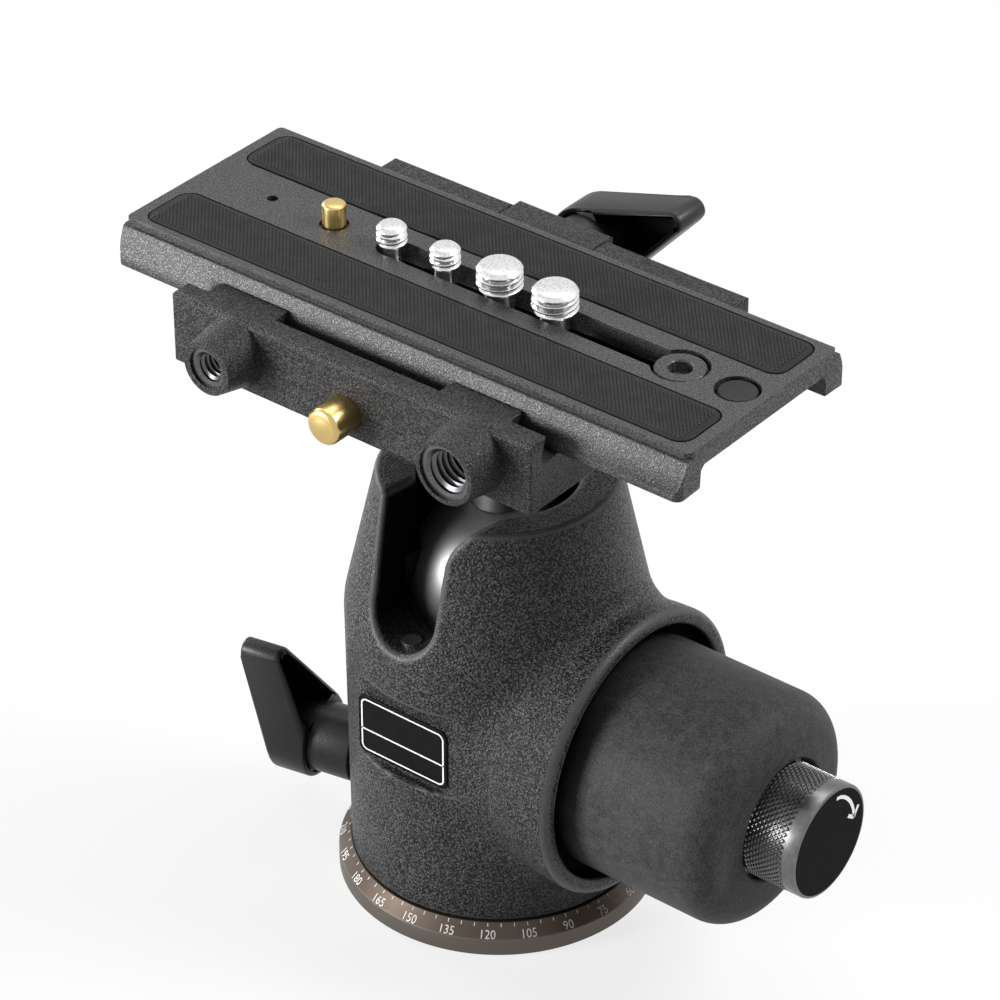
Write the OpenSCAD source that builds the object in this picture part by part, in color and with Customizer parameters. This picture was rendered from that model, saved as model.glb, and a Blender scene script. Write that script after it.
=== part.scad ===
// Ball head with a hydraulic lock, a panning base and a sliding quick-release plate.
// Millimetres, +Z up, origin at the centre of the base's underside.
// +X is the lock knob and the length of the plate, +Y the clamp lever; the drop notch is near -Y.

/* [Base] */
// Radius of the base disc
base_r = 34.5; // [33:0.5:38]
// Height of the straight wall of the base disc
base_wall_h = 4.2; // [3:0.2:5]
// Height of the base disc with its scale cone
base_h = 7; // [6.5:0.5:9]
// Radius of the pan spindle
spindle_r = 14; // [12:0.5:15]
// Radius of the tripod thread in the base (3/8 in)
base_thread_r = 4.7625; // [3.175:0.0125:4.775]
// Depth of the tripod thread
base_thread_depth = 13; // [8:1:15]
// Thickness of the thrust washer under the housing
washer_t = 1.3; // [1:0.1:2]

/* [Housing] */
// Radius of the housing above the base
body_r = 31.6; // [31:0.2:33]
// How much wider the housing is at its shoulder
shoulder_flare = 0.6; // [0.2:0.2:2]
// Height at which the neck starts to taper
shoulder_z = 73; // [71:0.5:75]
// Outer radius of the neck's rim
rim_r = 25.5; // [25:0.1:26.5]
// Height of the neck's rim
rim_z = 100.5; // [99.5:0.5:102]
// Inner radius of the neck's mouth
mouth_r = 16.8; // [16.2:0.1:17.4]
// Radius of the main bore
bore_r = 21; // [20:0.2:22]
// Half width of the drop notch
notch_r = 8.2; // [8:0.1:9]
// Direction of the drop notch around the body
notch_angle = 266; // [262:0.5:270]
// Height of the middle of the notch's round foot
notch_z = 78.8; // [78:0.2:80]
// Depth of the label flat in the housing
label_flat_depth = 2.6; // [1.6:0.2:3.4]
// Height of the label flat
label_flat_h = 20; // [14:1:24]
// Height of the middle of the label flat
label_z = 49; // [46:0.5:52]

/* [Ball and stem] */
// Radius of the ball
ball_r = 18.6; // [18:0.1:19.4]
// Height of the ball's centre
ball_z = 75; // [73:0.5:76]
// Radius of the stem at its waist
stem_r = 5.6; // [5:0.1:5.8]
// Radius of the stem's flange
flange_r = 17; // [15:0.5:20]
// Thickness of the stem's flange
flange_t = 3; // [2:0.5:4]
// Radius of the stud through the stem
stud_r = 3; // [2.5:0.25:3.5]

/* [Lock knob] */
// Height of the lock knob's axis
knob_z = 45; // [44:0.5:47]
// Radius of the boss around the knob
boss_r = 31.9; // [31:0.2:33]
// Distance of the boss's rim from the main axis
boss_x = 37.3; // [36.5:0.2:39]
// Depth of the recess in the boss
recess_depth = 4.3; // [3:0.1:5]
// Radius of the rubber knob
knob_r = 25.6; // [24:0.2:26.4]
// Distance of the knob's end face from the main axis
knob_end_x = 73.4; // [70:0.2:78]
// Radius of the knob's rounded end
knob_round = 7; // [5:0.5:9]
// Thickness of the rubber on the knob
rubber_t = 2.6; // [2:0.1:3]
// Radius of the friction dial
dial_r = 12.5; // [11:0.25:14]
// Length of the friction dial outside the knob
dial_len = 11.5; // [9:0.5:14]
// Radius of the lock shaft
shaft_r = 6; // [5:0.25:7]
// Radius of the friction rod
rod_r = 3; // [2:0.25:3.5]
// Radius of the master cylinder
master_r = 5.5; // [4.5:0.25:6]

/* [Pan lock lever] */
// Direction of the pan lock's axis around the body
pan_angle = 191.3; // [185:0.5:200]
// Height of the pan lock's axis
pan_z = 17.5; // [16.5:0.5:19]
// Radius of the pan lock screw
pan_screw_r = 4; // [3:0.25:4.5]
// Length of the pan lever from axis to tip
pan_wing_len = 21.5; // [18:0.5:28]
// How far the pan lever leans outwards
pan_wing_lean = 7.4; // [2:0.2:9]
// Turn of the pan lever from upright
pan_wing_turn = 12; // [0:1:30]

/* [Levers] */
// Radius of a lever's wing at its hub
wing_hub_r = 9.5; // [8.5:0.25:10.5]
// Radius of a lever's wing at its tip
wing_tip_r = 2.6; // [2.2:0.1:3.5]
// Depth of a lever's wing
wing_depth = 9; // [8:0.5:11]
// Wall of a lever's wing
wing_wall = 1.6; // [1.2:0.1:2]
// Radius of a lever's hub
lever_hub_r = 7.8; // [6:0.2:8]

/* [Adapter] */
// Height of the adapter's underside
adapter_z = 122; // [120:0.5:124]
// Height of the adapter's ledges
ledge_z = 138; // [137:0.25:139]
// Left end of the adapter
adapter_x0 = -55.5; // [-60:0.5:-52]
// Right end of the adapter's front wall
adapter_x1 = 36; // [33:0.5:40]
// Right end of the adapter's rear rail
rail_x1 = 36; // [33:0.5:40]
// Thickness of the rails beside the plate
rail_wall = 7.7; // [7:0.1:10]
// How far the middle of the front ledge is cut back
ledge_cut = 4; // [2:0.5:5]
// Length of the pockets in the rear ledge
pocket_len = 8.5; // [6:0.5:9.5]
// Width of the pockets in the rear ledge
pocket_w = 2.6; // [1.5:0.1:3.5]
// Length of the side thread bosses
side_boss_len = 8.5; // [6:0.5:11]
// Radius of the small side thread (1/4 in)
small_thread_r = 3.175; // [3:0.025:3.2]
// Radius of the large side thread (3/8 in)
large_thread_r = 4.7625; // [4.5:0.0125:4.775]
// Radius of the safety button
button_r = 4; // [3:0.25:4.2]
// How far the safety button stands out
button_out = 7.6; // [5:0.2:9]
// Travel of the safety button
button_travel = 4; // [3:0.5:5]
// Middle of the clamp jaw along the plate
jaw_x = -11.8; // [-14:0.2:-9]
// Length of the clamp jaw
jaw_len = 24; // [20:1:28]
// How far the clamp jaw stands out behind the rail
jaw_out = 2.2; // [1:0.2:3]
// Radius of the clamp screw
clamp_screw_r = 3; // [2.5:0.25:3.25]
// Length of the clamp lever from axis to tip
clamp_wing_len = 22.5; // [18:0.5:26]
// How far the clamp lever leans outwards
clamp_wing_lean = 3; // [0:0.5:8]
// Turn of the clamp lever above the level
clamp_wing_turn = 31; // [20:1:45]

/* [Plate] */
// Left end of the plate
plate_x0 = -78; // [-84:0.5:-72]
// Right end of the plate
plate_x1 = 65; // [60:0.5:72]
// Height of the plate's top face
plate_z = 142.3; // [141:0.1:144]
// Half width of the plate's top face
plate_top_half = 24.5; // [23:0.25:25]
// Half width of the plate's rails
plate_rail_half = 27.5; // [27:0.25:29]
// Height of the plate
plate_h = 9.5; // [8:0.25:10]
// Thickness of the plate's web
plate_web = 4.5; // [4:0.25:5]
// Corner radius of the plate
plate_corner = 1.8; // [0.6:0.2:3]
// Width of the rubber strips
strip_w = 13.6; // [10:0.2:14]
// Margin between a strip and the plate's edge
strip_margin = 2.4; // [2:0.2:4]
// How far the strips stand above the plate
strip_out = 0.4; // [0.2:0.1:0.8]
// Width of the screw slot
slot_w = 6.75; // [6.25:0.25:8.5]
// Middle of the screw slot's left end
slot_x0 = -27.4; // [-30:0.2:-26]
// Place of the slot's end disc
end_disc_x = 44.9; // [42:0.1:46]
// Place of the end plug
end_plug_x = 58.5; // [57:0.1:59.5]
// Place of the first camera screw
screw_x = -27.5; // [-28.5:0.1:-27]
// Spacing of the camera screws
screw_step = 13.9; // [13.5:0.1:15]
// Radius of the small camera thread (1/4 in)
small_screw_r = 3.175; // [3:0.025:3.2]
// Radius of the large camera thread (3/8 in)
large_screw_r = 4.7625; // [4.5:0.0125:4.775]
// Place of the video pin
video_pin_x = -42.7; // [-45:0.1:-41]
// Radius of the video pin
video_pin_r = 2.5; // [2:0.1:2.8]
// How far the video pin stands out
video_pin_out = 5; // [4:0.2:6]

/* [Hidden] */
$fn = 64;
loose = 0.3;   // gap between faces that move past each other
run = 0.05;    // radial clearance of a shaft or piston that runs in its bore
seat = 0.02;   // clearance of a piece that sits fixed in its bore
hull_fn = 32;

body_z = base_h + loose;
shoulder_r = body_r + shoulder_flare;
label_flat_y = shoulder_r - label_flat_depth;
cone_top_r = body_r + 0.2;
bearing_h = 15.6;
bearing_z = base_h + run + washer_t;
bearing_top = bearing_z + bearing_h;
ring_t = 2;
ring_r = spindle_r + 4;
spindle_neck_r = spindle_r - 2;
spindle_head_t = 2;
insert_r = base_thread_r + 2.4;
spindle_foot_r = insert_r + 2.8;

seat_r = ball_r + loose;
cup_drop = 8.5;
cup_top_z = ball_z - cup_drop;
cup_floor_t = 5;
cup_z = ball_z - seat_r - cup_floor_t;
seal_h = 2.4;
seal_depth = 1.8;
ball_seat_up = 3;
ball_seat_h = 6;
ball_seat_z0 = ball_z + ball_seat_up;
ball_seat_z1 = ball_seat_z0 + ball_seat_h;
throat_r = seat_r - 1.4;
plug_z0 = bearing_top + ring_t + spindle_head_t + 3;
plug_z1 = knob_z - master_r - 0.5;
stop_r = 2;
stop_rho = (bore_r + shoulder_r) / 2 - 0.3;
stop_sink = 4;
stop_out = 0.5;
stop_z = notch_z - notch_r - stop_sink;
neck_round_r = 20;
neck_round_h = 6;
neck_lean = 13;
lip_round = 1.2;
rim_fall = 2.4;

foot_r = stem_r + 0.1;
foot_z = ball_z + sqrt(seat_r * seat_r - foot_r * foot_r);
flare_z = ball_z + shoulder_r + 1.5;
stem_top = adapter_z - loose;
stud_head_r = stud_r + 3;
stud_head_t = 2;

recess_r = knob_r + 2.8;
recess_x = boss_x - recess_depth;
bush_r = shaft_r + 4;
bush_flange_r = bush_r + 2;
bush_flange_t = 1.5;
bush_len = 3.5;
bush_x0 = recess_x - bush_len;
piston_x0 = bore_r + 1;
piston_x1 = bush_x0 - 0.6;
tip_r = 3;
knob_x0 = recess_x + 0.8;
core_x0 = recess_x + bush_flange_t + 0.8;
core_r = knob_r - rubber_t - run;
core_round = knob_round - rubber_t - run;
round_x = knob_end_x - 0.9 - knob_round;
round_r = knob_r - knob_round;
core_end_x = round_x + core_round;
core_skirt_t = 2.6;
core_web_t = 7;
dial_hole_r = dial_r + 0.7;
dial_x0 = core_end_x + 0.4;
dial_x1 = knob_end_x + dial_len;
dial_neck_r = rod_r + 5;
cap_r = dial_r - 0.7;
cap_t = 0.8;
shaft_x1 = core_end_x - core_web_t - 2;

lever_gap = 10;
pan_hub_rho = shoulder_r + 0.6;
pan_bush_r = pan_screw_r + 2;
pad_t = 3;

bed_z = plate_z - plate_h - loose;
plate_bottom = plate_z - plate_h;
rail_foot_h = 1.4;
lip_h = 1.5;
lip_step = 0.5;
slope = (plate_rail_half - plate_top_half - lip_step) / (plate_h - lip_h - rail_foot_h);
slope_y = function (z) plate_rail_half - slope * (z - plate_bottom - rail_foot_h);
ledge_y = slope_y(ledge_z) + loose;
pin_row_z = (adapter_z + bed_z) / 2;
small_boss_x = -39;
large_boss_x = 21.5;
insert_wall = 1.2;
insert_sink = 0.6;
insert_len = side_boss_len + 5 - insert_sink;
side_boss_z = 130.4;
button_x = -10.3;
spring_wire = 0.35;
button_rod_r = button_r - 1.5;
button_pocket = button_travel + 8;
adapter_half = plate_rail_half + loose + rail_wall;
jaw_depth = 9;
jaw_y0 = adapter_half - jaw_depth;
guide_pitch = jaw_len - 8;
guide_r = 2;
guide_reach = 10;
guide_hold = 3.9;
clamp_reach = 15;
clamp_room = 1;
clamp_hub_y = adapter_half + jaw_out + 0.5;
clamp_hub_len = lever_gap - 4;

strip_len = plate_x1 - plate_x0 - 6;
strip_y = plate_top_half - strip_margin - strip_w / 2;
strip_depth = 1;
strip_gap = 0.4;
disc_r = 5.2;
disc_gap = 0.8;
plug_r = 4;
plug_gap = 0.7;
disc_hole_r = 2.45;
disc_t = 2;
small_hole_in = 18.7;
disc_sink = 0.3;
head_r = screw_step / 2 - loose;
head_t = plate_h - plate_web - 1.1;
small_shank_r = 2.2;
large_shank_r = 3;
small_top = 5.5;
large_top = 6.3;
pin_flange_r = video_pin_r + 0.8;
pin_guide_t = 2;
pin_rim = 0.6;
pin_rim_h = 1;
pin_boss_r = pin_flange_r + 1.6;
pin_cap_t = 0.8;
pin_flange_t = 1.2;

// Points of an arc in a profile
arc = function (cx, cy, r, a0, a1, n = 6)
    [for (i = [0 : n]) [cx + r * cos(a0 + (a1 - a0) * i / n), cy + r * sin(a0 + (a1 - a0) * i / n)]];

// A plain ring standing on z
module ring(outer, inner, h) {
    difference() {
        cylinder(r = outer, h = h);
        translate([0, 0, -1]) cylinder(r = inner, h = h + 2);
    }
}

// Turns a shape built along +Z so that it lies along +X at the lock knob's axis
module on_knob_axis() {
    translate([0, 0, knob_z]) rotate([0, 90, 0]) children();
}

// Turns a shape built along +Z so that it points out along the pan lock's axis
module on_pan_axis() {
    translate([0, 0, pan_z]) rotate([0, 0, pan_angle]) rotate([0, 90, 0]) children();
}

// Turns a shape built along +Z so that it lies along +Y at a place on the adapter
module along_y(x, y, z) {
    translate([x, y, z]) rotate([-90, 0, 0]) children();
}

module rounded_rect(len, width, r) {
    square([len - 2 * r, width], center = true);
    square([len, width - 2 * r], center = true);
    for (sx = [-1, 1], sy = [-1, 1])
        translate([sx * (len / 2 - r), sy * (width / 2 - r)]) circle(r = r);
}

// A coil spring along +Z, swept as one tube of square wire
module coil_spring(r, wire, len, turns) {
    steps = 12;
    count = turns * steps;
    rise = (len - 2 * wire) / count;
    corners = [[-1, -1], [1, -1], [1, 1], [-1, 1]];
    points = [for (i = [0 : count], c = corners)
        let (a = i * 360 / steps)
        [(r + c[0] * wire) * cos(a), (r + c[0] * wire) * sin(a), wire + i * rise + c[1] * wire]];
    sides = [for (i = [0 : count - 1], k = [0 : 3])
        let (a = 4 * i + k, b = 4 * i + (k + 1) % 4)
        each [[a, b + 4, b], [a, a + 4, b + 4]]];
    last = 4 * count;
    ends = [[0, 1, 2], [0, 2, 3], [last, last + 2, last + 1], [last, last + 3, last + 2]];
    polyhedron(points, concat(sides, ends));
}

// A hollow wing lever: hub along +Z, wing towards +Y, open towards the hub's foot
module wing_lever(len, lean, hub_len, screw_r) {
    difference() {
        union() {
            difference() {
                hull() {
                    translate([0, 0, hub_len]) cylinder(r = wing_hub_r, h = wing_depth, $fn = hull_fn);
                    translate([0, len, hub_len + lean])
                        cylinder(r = wing_tip_r, h = wing_depth, $fn = hull_fn);
                }
                hull() {
                    translate([0, 0, hub_len - wing_wall])
                        cylinder(r = wing_hub_r - wing_wall, h = wing_depth, $fn = hull_fn);
                    translate([0, len - wing_wall / 2, hub_len + lean - wing_wall])
                        cylinder(r = wing_tip_r - wing_wall / 2, h = wing_depth, $fn = hull_fn);
                }
            }
            cylinder(r = lever_hub_r, h = hub_len + wing_depth - wing_wall / 2);
        }
        translate([0, 0, -1]) cylinder(r = screw_r + seat, h = hub_len + wing_depth - wing_wall + 1);
    }
}

// Base group
module base_disc() {
    color([0.37, 0.33, 0.29])
    difference() {
        rotate_extrude() polygon([[0, 0], [base_r - 0.4, 0], [base_r, 0.4], [base_r, base_wall_h],
            [cone_top_r, base_h], [0, base_h]]);
        translate([0, 0, -1]) cylinder(r = spindle_foot_r + seat, h = base_h + 2);
    }
}

module thread_insert() {
    color("silver") ring(insert_r, base_thread_r, base_thread_depth);
}

module pan_spindle() {
    color("gray")
    difference() {
        union() {
            cylinder(r = spindle_foot_r, h = base_h);
            translate([0, 0, base_h + seat]) cylinder(r = spindle_r, h = bearing_top + run - base_h - seat);
            translate([0, 0, base_h - 1]) cylinder(r = spindle_foot_r, h = 2);
            translate([0, 0, bearing_top]) cylinder(r = spindle_neck_r, h = ring_t + spindle_head_t / 2);
            translate([0, 0, bearing_top + run + ring_t]) cylinder(r = spindle_r, h = spindle_head_t);
        }
        translate([0, 0, -1]) cylinder(r = insert_r + seat, h = base_thread_depth + 1);
    }
}

module retaining_ring() {
    color("dimgray")
    translate([0, 0, bearing_top + run])
    difference() {
        ring(ring_r, spindle_neck_r + seat, ring_t);
        translate([0, -2, -1]) cube([ring_r + 1, 4, ring_t + 2]);
    }
}

// Housing group
module housing_shell() {
    rotate_extrude() polygon(concat(
        [[0, body_z], [body_r - 0.5, body_z], [body_r, body_z + 0.5]],
        [[shoulder_r, shoulder_z - neck_round_h]],
        arc(shoulder_r - neck_round_r, shoulder_z - neck_round_h, neck_round_r, 0, neck_lean, 4),
        arc(rim_r - lip_round, rim_z - lip_round, lip_round, neck_lean, 90),
        [[0, rim_z - rim_fall]]));
}

module knob_boss() {
    rim_round = (boss_r - recess_r) / 2;
    flare = [for (i = [0 : 8]) let (t = i / 8)
        [boss_x - rim_round - 26 * (1 - t), boss_r - 5.6 * (1 - t) * (1 - t) - 0.4 * (1 - t)]];
    rotate_extrude() polygon([for (p = concat(
        [[0, 0], [0, flare[0][1]]], flare,
        [for (q = arc(boss_x - rim_round, boss_r - rim_round, rim_round, 90, 0)) q],
        [[boss_x, 0]])) [p[1], p[0]]]);
}

// Turns a shape built along -Y towards the drop notch
module on_notch() {
    rotate([0, 0, notch_angle - 270]) children();
}

module notch_cut(depth) {
    on_notch() translate([0, 0, notch_z]) {
        rotate([90, 0, 0]) cylinder(r = notch_r, h = depth);
        translate([-notch_r, -depth, 0]) cube([2 * notch_r, depth, rim_z]);
    }
}

module housing() {
    color([0.13, 0.13, 0.14])
    difference() {
        union() {
            housing_shell();
            on_knob_axis() knob_boss();
        }
        translate([0, 0, body_z - 1]) cylinder(r = bore_r, h = ball_seat_z1 - body_z + 1);
        translate([0, 0, ball_seat_z1 - 0.01])
            cylinder(r1 = throat_r, r2 = mouth_r, h = rim_z - ball_seat_z1 - rim_fall);
        translate([0, 0, rim_z - rim_fall - 0.02]) cylinder(r = mouth_r, h = rim_fall + 1);
        notch_cut(shoulder_r + 5);
        translate([-bore_r, -shoulder_r - 5, label_z - label_flat_h / 2])
            cube([2 * bore_r, shoulder_r + 5 - label_flat_y, label_flat_h]);
        on_notch() translate([0, -stop_rho, stop_z]) cylinder(r = stop_r, h = stop_sink + 1);
        on_knob_axis() {
            translate([0, 0, recess_x]) cylinder(r = recess_r, h = recess_depth + 1);
            translate([0, 0, bore_r - 3]) cylinder(r = master_r, h = recess_x);
            translate([0, 0, bush_x0]) cylinder(r = bush_r, h = recess_x);
        }
        on_pan_axis() translate([0, 0, bore_r - 2]) cylinder(r = pan_bush_r, h = shoulder_r);
    }
}

module thrust_washer() {
    color("ivory") translate([0, 0, base_h + run]) ring(bore_r - seat, spindle_r + loose, washer_t);
}

module pan_bearing() {
    color("goldenrod")
    difference() {
        translate([0, 0, bearing_z]) ring(bore_r - seat, spindle_r + run, bearing_h);
        on_pan_axis() cylinder(r = pan_screw_r + run, h = bore_r + 1);
    }
}

module pan_lock_bush() {
    color("silver")
    on_pan_axis() translate([0, 0, bore_r + 0.5])
        ring(pan_bush_r - seat, pan_screw_r + run, body_r - bore_r - 1.5);
}

module cylinder_plug() {
    color("gray") translate([0, 0, plug_z0]) cylinder(r = bore_r - seat, h = plug_z1 - plug_z0);
}

module ball_seat() {
    color("ivory")
    difference() {
        translate([0, 0, ball_seat_z0]) cylinder(r = bore_r - seat, h = ball_seat_z1 - ball_seat_z0 - 0.02);
        translate([0, 0, ball_z]) sphere(r = seat_r);
        notch_cut(bore_r + 1);
    }
}

module notch_stop() {
    color("dimgray")
    on_notch() translate([0, -stop_rho, stop_z]) cylinder(r = stop_r - seat, h = stop_sink + stop_out);
}

module lock_bush() {
    color("gray")
    on_knob_axis() difference() {
        union() {
            translate([0, 0, bush_x0]) cylinder(r = bush_r - seat, h = recess_x - bush_x0);
            translate([0, 0, recess_x]) cylinder(r = bush_flange_r, h = bush_flange_t);
        }
        cylinder(r = shaft_r + run, h = boss_x);
    }
}

// Pan lock group
module pan_lever() {
    color([0.12, 0.12, 0.13])
    on_pan_axis() translate([0, 0, pan_hub_rho]) rotate([0, 0, 90 - pan_wing_turn])
        wing_lever(pan_wing_len, pan_wing_lean, lever_gap, pan_screw_r);
}

module pan_screw() {
    tip = spindle_r + loose + pad_t + loose;
    color("silver")
    on_pan_axis() translate([0, 0, tip])
        cylinder(r = pan_screw_r, h = pan_hub_rho + lever_gap + wing_depth - wing_wall - tip - 0.3);
}

module brake_pad() {
    color("gold")
    on_pan_axis() translate([0, 0, spindle_r + loose]) cylinder(r = pan_screw_r, h = pad_t);
}

// Hydraulic group
module ball_cup() {
    color("lightgray")
    difference() {
        translate([0, 0, cup_z]) cylinder(r = bore_r - run, h = cup_top_z - cup_z);
        translate([0, 0, ball_z]) sphere(r = seat_r);
        translate([0, 0, cup_z + 1.5]) ring(bore_r + 1, bore_r - seal_depth, seal_h);
    }
}

module cup_seal() {
    color("black")
    translate([0, 0, cup_z + 1.5 + seat]) ring(bore_r - run, bore_r - seal_depth + seat, seal_h - 2 * seat);
}

module master_piston() {
    color("lightgray")
    on_knob_axis() difference() {
        translate([0, 0, piston_x0]) cylinder(r = master_r - run, h = piston_x1 - piston_x0);
        translate([0, 0, piston_x0 + 1.2]) ring(master_r + 1, master_r - 1.2, 2);
        translate([0, 0, piston_x0 + 1]) cylinder(r = tip_r, h = piston_x1);
    }
}

module master_seal() {
    color("black")
    on_knob_axis() translate([0, 0, piston_x0 + 1.2 + seat])
        ring(master_r - run, master_r - 1.2 + seat, 2 - 2 * seat);
}

// Lock knob group
module lock_shaft() {
    color("silver")
    on_knob_axis() difference() {
        union() {
            translate([0, 0, piston_x0 + 3]) cylinder(r = tip_r - run, h = bush_x0 - piston_x0);
            translate([0, 0, bush_x0]) cylinder(r = shaft_r, h = shaft_x1 - bush_x0);
        }
        translate([0, 0, bush_x0 + 2]) cylinder(r = rod_r + run, h = shaft_x1);
    }
}

module knob_core() {
    hub_r = shaft_r + 4;
    color("gray")
    on_knob_axis() difference() {
        rotate_extrude() polygon([for (p = concat(
            [[core_x0, 0], [core_x0, hub_r], [core_end_x - core_web_t, hub_r],
             [core_end_x - core_web_t, core_r - core_skirt_t], [core_x0, core_r - core_skirt_t],
             [core_x0, core_r], [round_x, core_r]],
            arc(round_x, round_r, core_round, 90, 0),
            [[core_end_x, 0]])) [p[1], p[0]]]);
        cylinder(r = shaft_r + seat, h = shaft_x1 + seat);
        cylinder(r = dial_neck_r + run, h = knob_end_x + 1);
    }
    color("gray")
    on_knob_axis() translate([0, 0, core_x0]) ring(hub_r, shaft_r + seat, shaft_x1 - core_x0);
}

module knob_rubber() {
    color([0.22, 0.22, 0.23])
    on_knob_axis() rotate_extrude() polygon([for (p = concat(
        [[knob_x0, core_r + seat], [knob_x0, knob_r - 0.6], [knob_x0 + 0.6, knob_r], [round_x, knob_r]],
        arc(round_x, round_r, knob_round, 90, 0, 8),
        [[knob_end_x, dial_hole_r + 0.8], [knob_end_x - 0.8, dial_hole_r], [core_end_x + seat, dial_hole_r]],
        arc(round_x, round_r, core_round + seat, 0, 90)))
        [p[1], p[0]]]);
}

// Friction group
module friction_dial() {
    color([0.3, 0.3, 0.31])
    on_knob_axis() difference() {
        union() {
            translate([0, 0, dial_x0]) cylinder(r = dial_r, h = dial_x1 - dial_x0 - 0.5);
            translate([0, 0, dial_x1 - 0.5]) cylinder(r1 = dial_r, r2 = dial_r - 0.5, h = 0.5);
            translate([0, 0, shaft_x1 + 0.5]) cylinder(r = dial_neck_r, h = dial_x0 - shaft_x1);
        }
        translate([0, 0, dial_x1 - cap_t]) cylinder(r = cap_r, h = cap_t + 1);
        cylinder(r = rod_r + seat, h = dial_x0 + 4);
    }
}

module friction_cap() {
    color([0.12, 0.12, 0.13])
    on_knob_axis() translate([0, 0, dial_x1 - cap_t]) cylinder(r = cap_r - seat, h = cap_t + 0.1);
}

module friction_rod() {
    color("silver")
    on_knob_axis() translate([0, 0, bush_x0 + 3]) cylinder(r = rod_r, h = dial_x0 + 4 - bush_x0 - 3);
}

// Ball and stem group
module ball() {
    color([0.42, 0.42, 0.43]) translate([0, 0, ball_z]) sphere(r = ball_r);
}

module stem() {
    color([0.42, 0.42, 0.43])
    difference() {
        rotate_extrude() polygon([[0, ball_z], [foot_r, foot_z - 3], [foot_r, foot_z + 0.5],
            [stem_r, foot_z + 3], [stem_r, flare_z - 3], [foot_r, flare_z], [0, flare_z]]);
        translate([0, 0, ball_z]) sphere(r = seat_r);
        translate([0, 0, ball_z]) cylinder(r = stud_r + seat, h = stem_top);
    }
}

module stem_flange() {
    flare_h = stem_top - flange_t - flare_z - seat;
    flare = [for (i = [0 : 8]) let (t = i / 8)
        [foot_r + (flange_r - foot_r - 1) * t * t * t, flare_z + seat + flare_h * t]];
    color([0.42, 0.42, 0.43])
    difference() {
        rotate_extrude() polygon(concat([[0, flare_z + seat]], flare,
            [[flange_r, stem_top - flange_t + 0.6], [flange_r, stem_top], [0, stem_top]]));
        translate([0, 0, ball_z]) cylinder(r = stud_r + seat, h = stem_top);
    }
}

module stem_stud() {
    color("silver") {
        translate([0, 0, ball_z + seat_r + 0.6]) cylinder(r = stud_r, h = bed_z - 1 - ball_z - seat_r - 0.6);
        translate([0, 0, bed_z - 1 - stud_head_t]) cylinder(r = stud_head_r, h = stud_head_t);
    }
}

// Adapter group
// Section of a rail on the +Y side: outer face, ledge and undercut that grips the plate
module rail_section(outer, inner_cut, toe) {
    foot_z = plate_bottom + rail_foot_h;
    foot_y = plate_rail_half + loose;
    polygon([[toe, adapter_z], [outer, adapter_z], [outer, ledge_z - 0.8], [outer - 0.8, ledge_z],
        [ledge_y + inner_cut, ledge_z], [foot_y + inner_cut, foot_z],
        [foot_y + inner_cut, bed_z], [toe, bed_z]]);
}

// A rail along X from x0 to x1
module rail(x0, x1, outer, inner_cut = 0, toe = plate_rail_half - 2) {
    translate([x0, 0, 0]) rotate([90, 0, 90]) linear_extrude(x1 - x0) rail_section(outer, inner_cut, toe);
}

module side_boss(x, face_r, base_r) {
    along_y(x, -adapter_half - side_boss_len, side_boss_z)
        cylinder(r1 = face_r, r2 = base_r, h = side_boss_len + 1);
}

module insert_bore(x, thread_r) {
    along_y(x, -adapter_half - side_boss_len - 1, side_boss_z)
        cylinder(r = thread_r + insert_wall, h = insert_len + insert_sink + 1);
}

module side_insert(x, thread_r) {
    color("silver")
    along_y(x, -adapter_half - side_boss_len + insert_sink, side_boss_z)
        ring(thread_r + insert_wall - seat, thread_r, insert_len);
}

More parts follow.
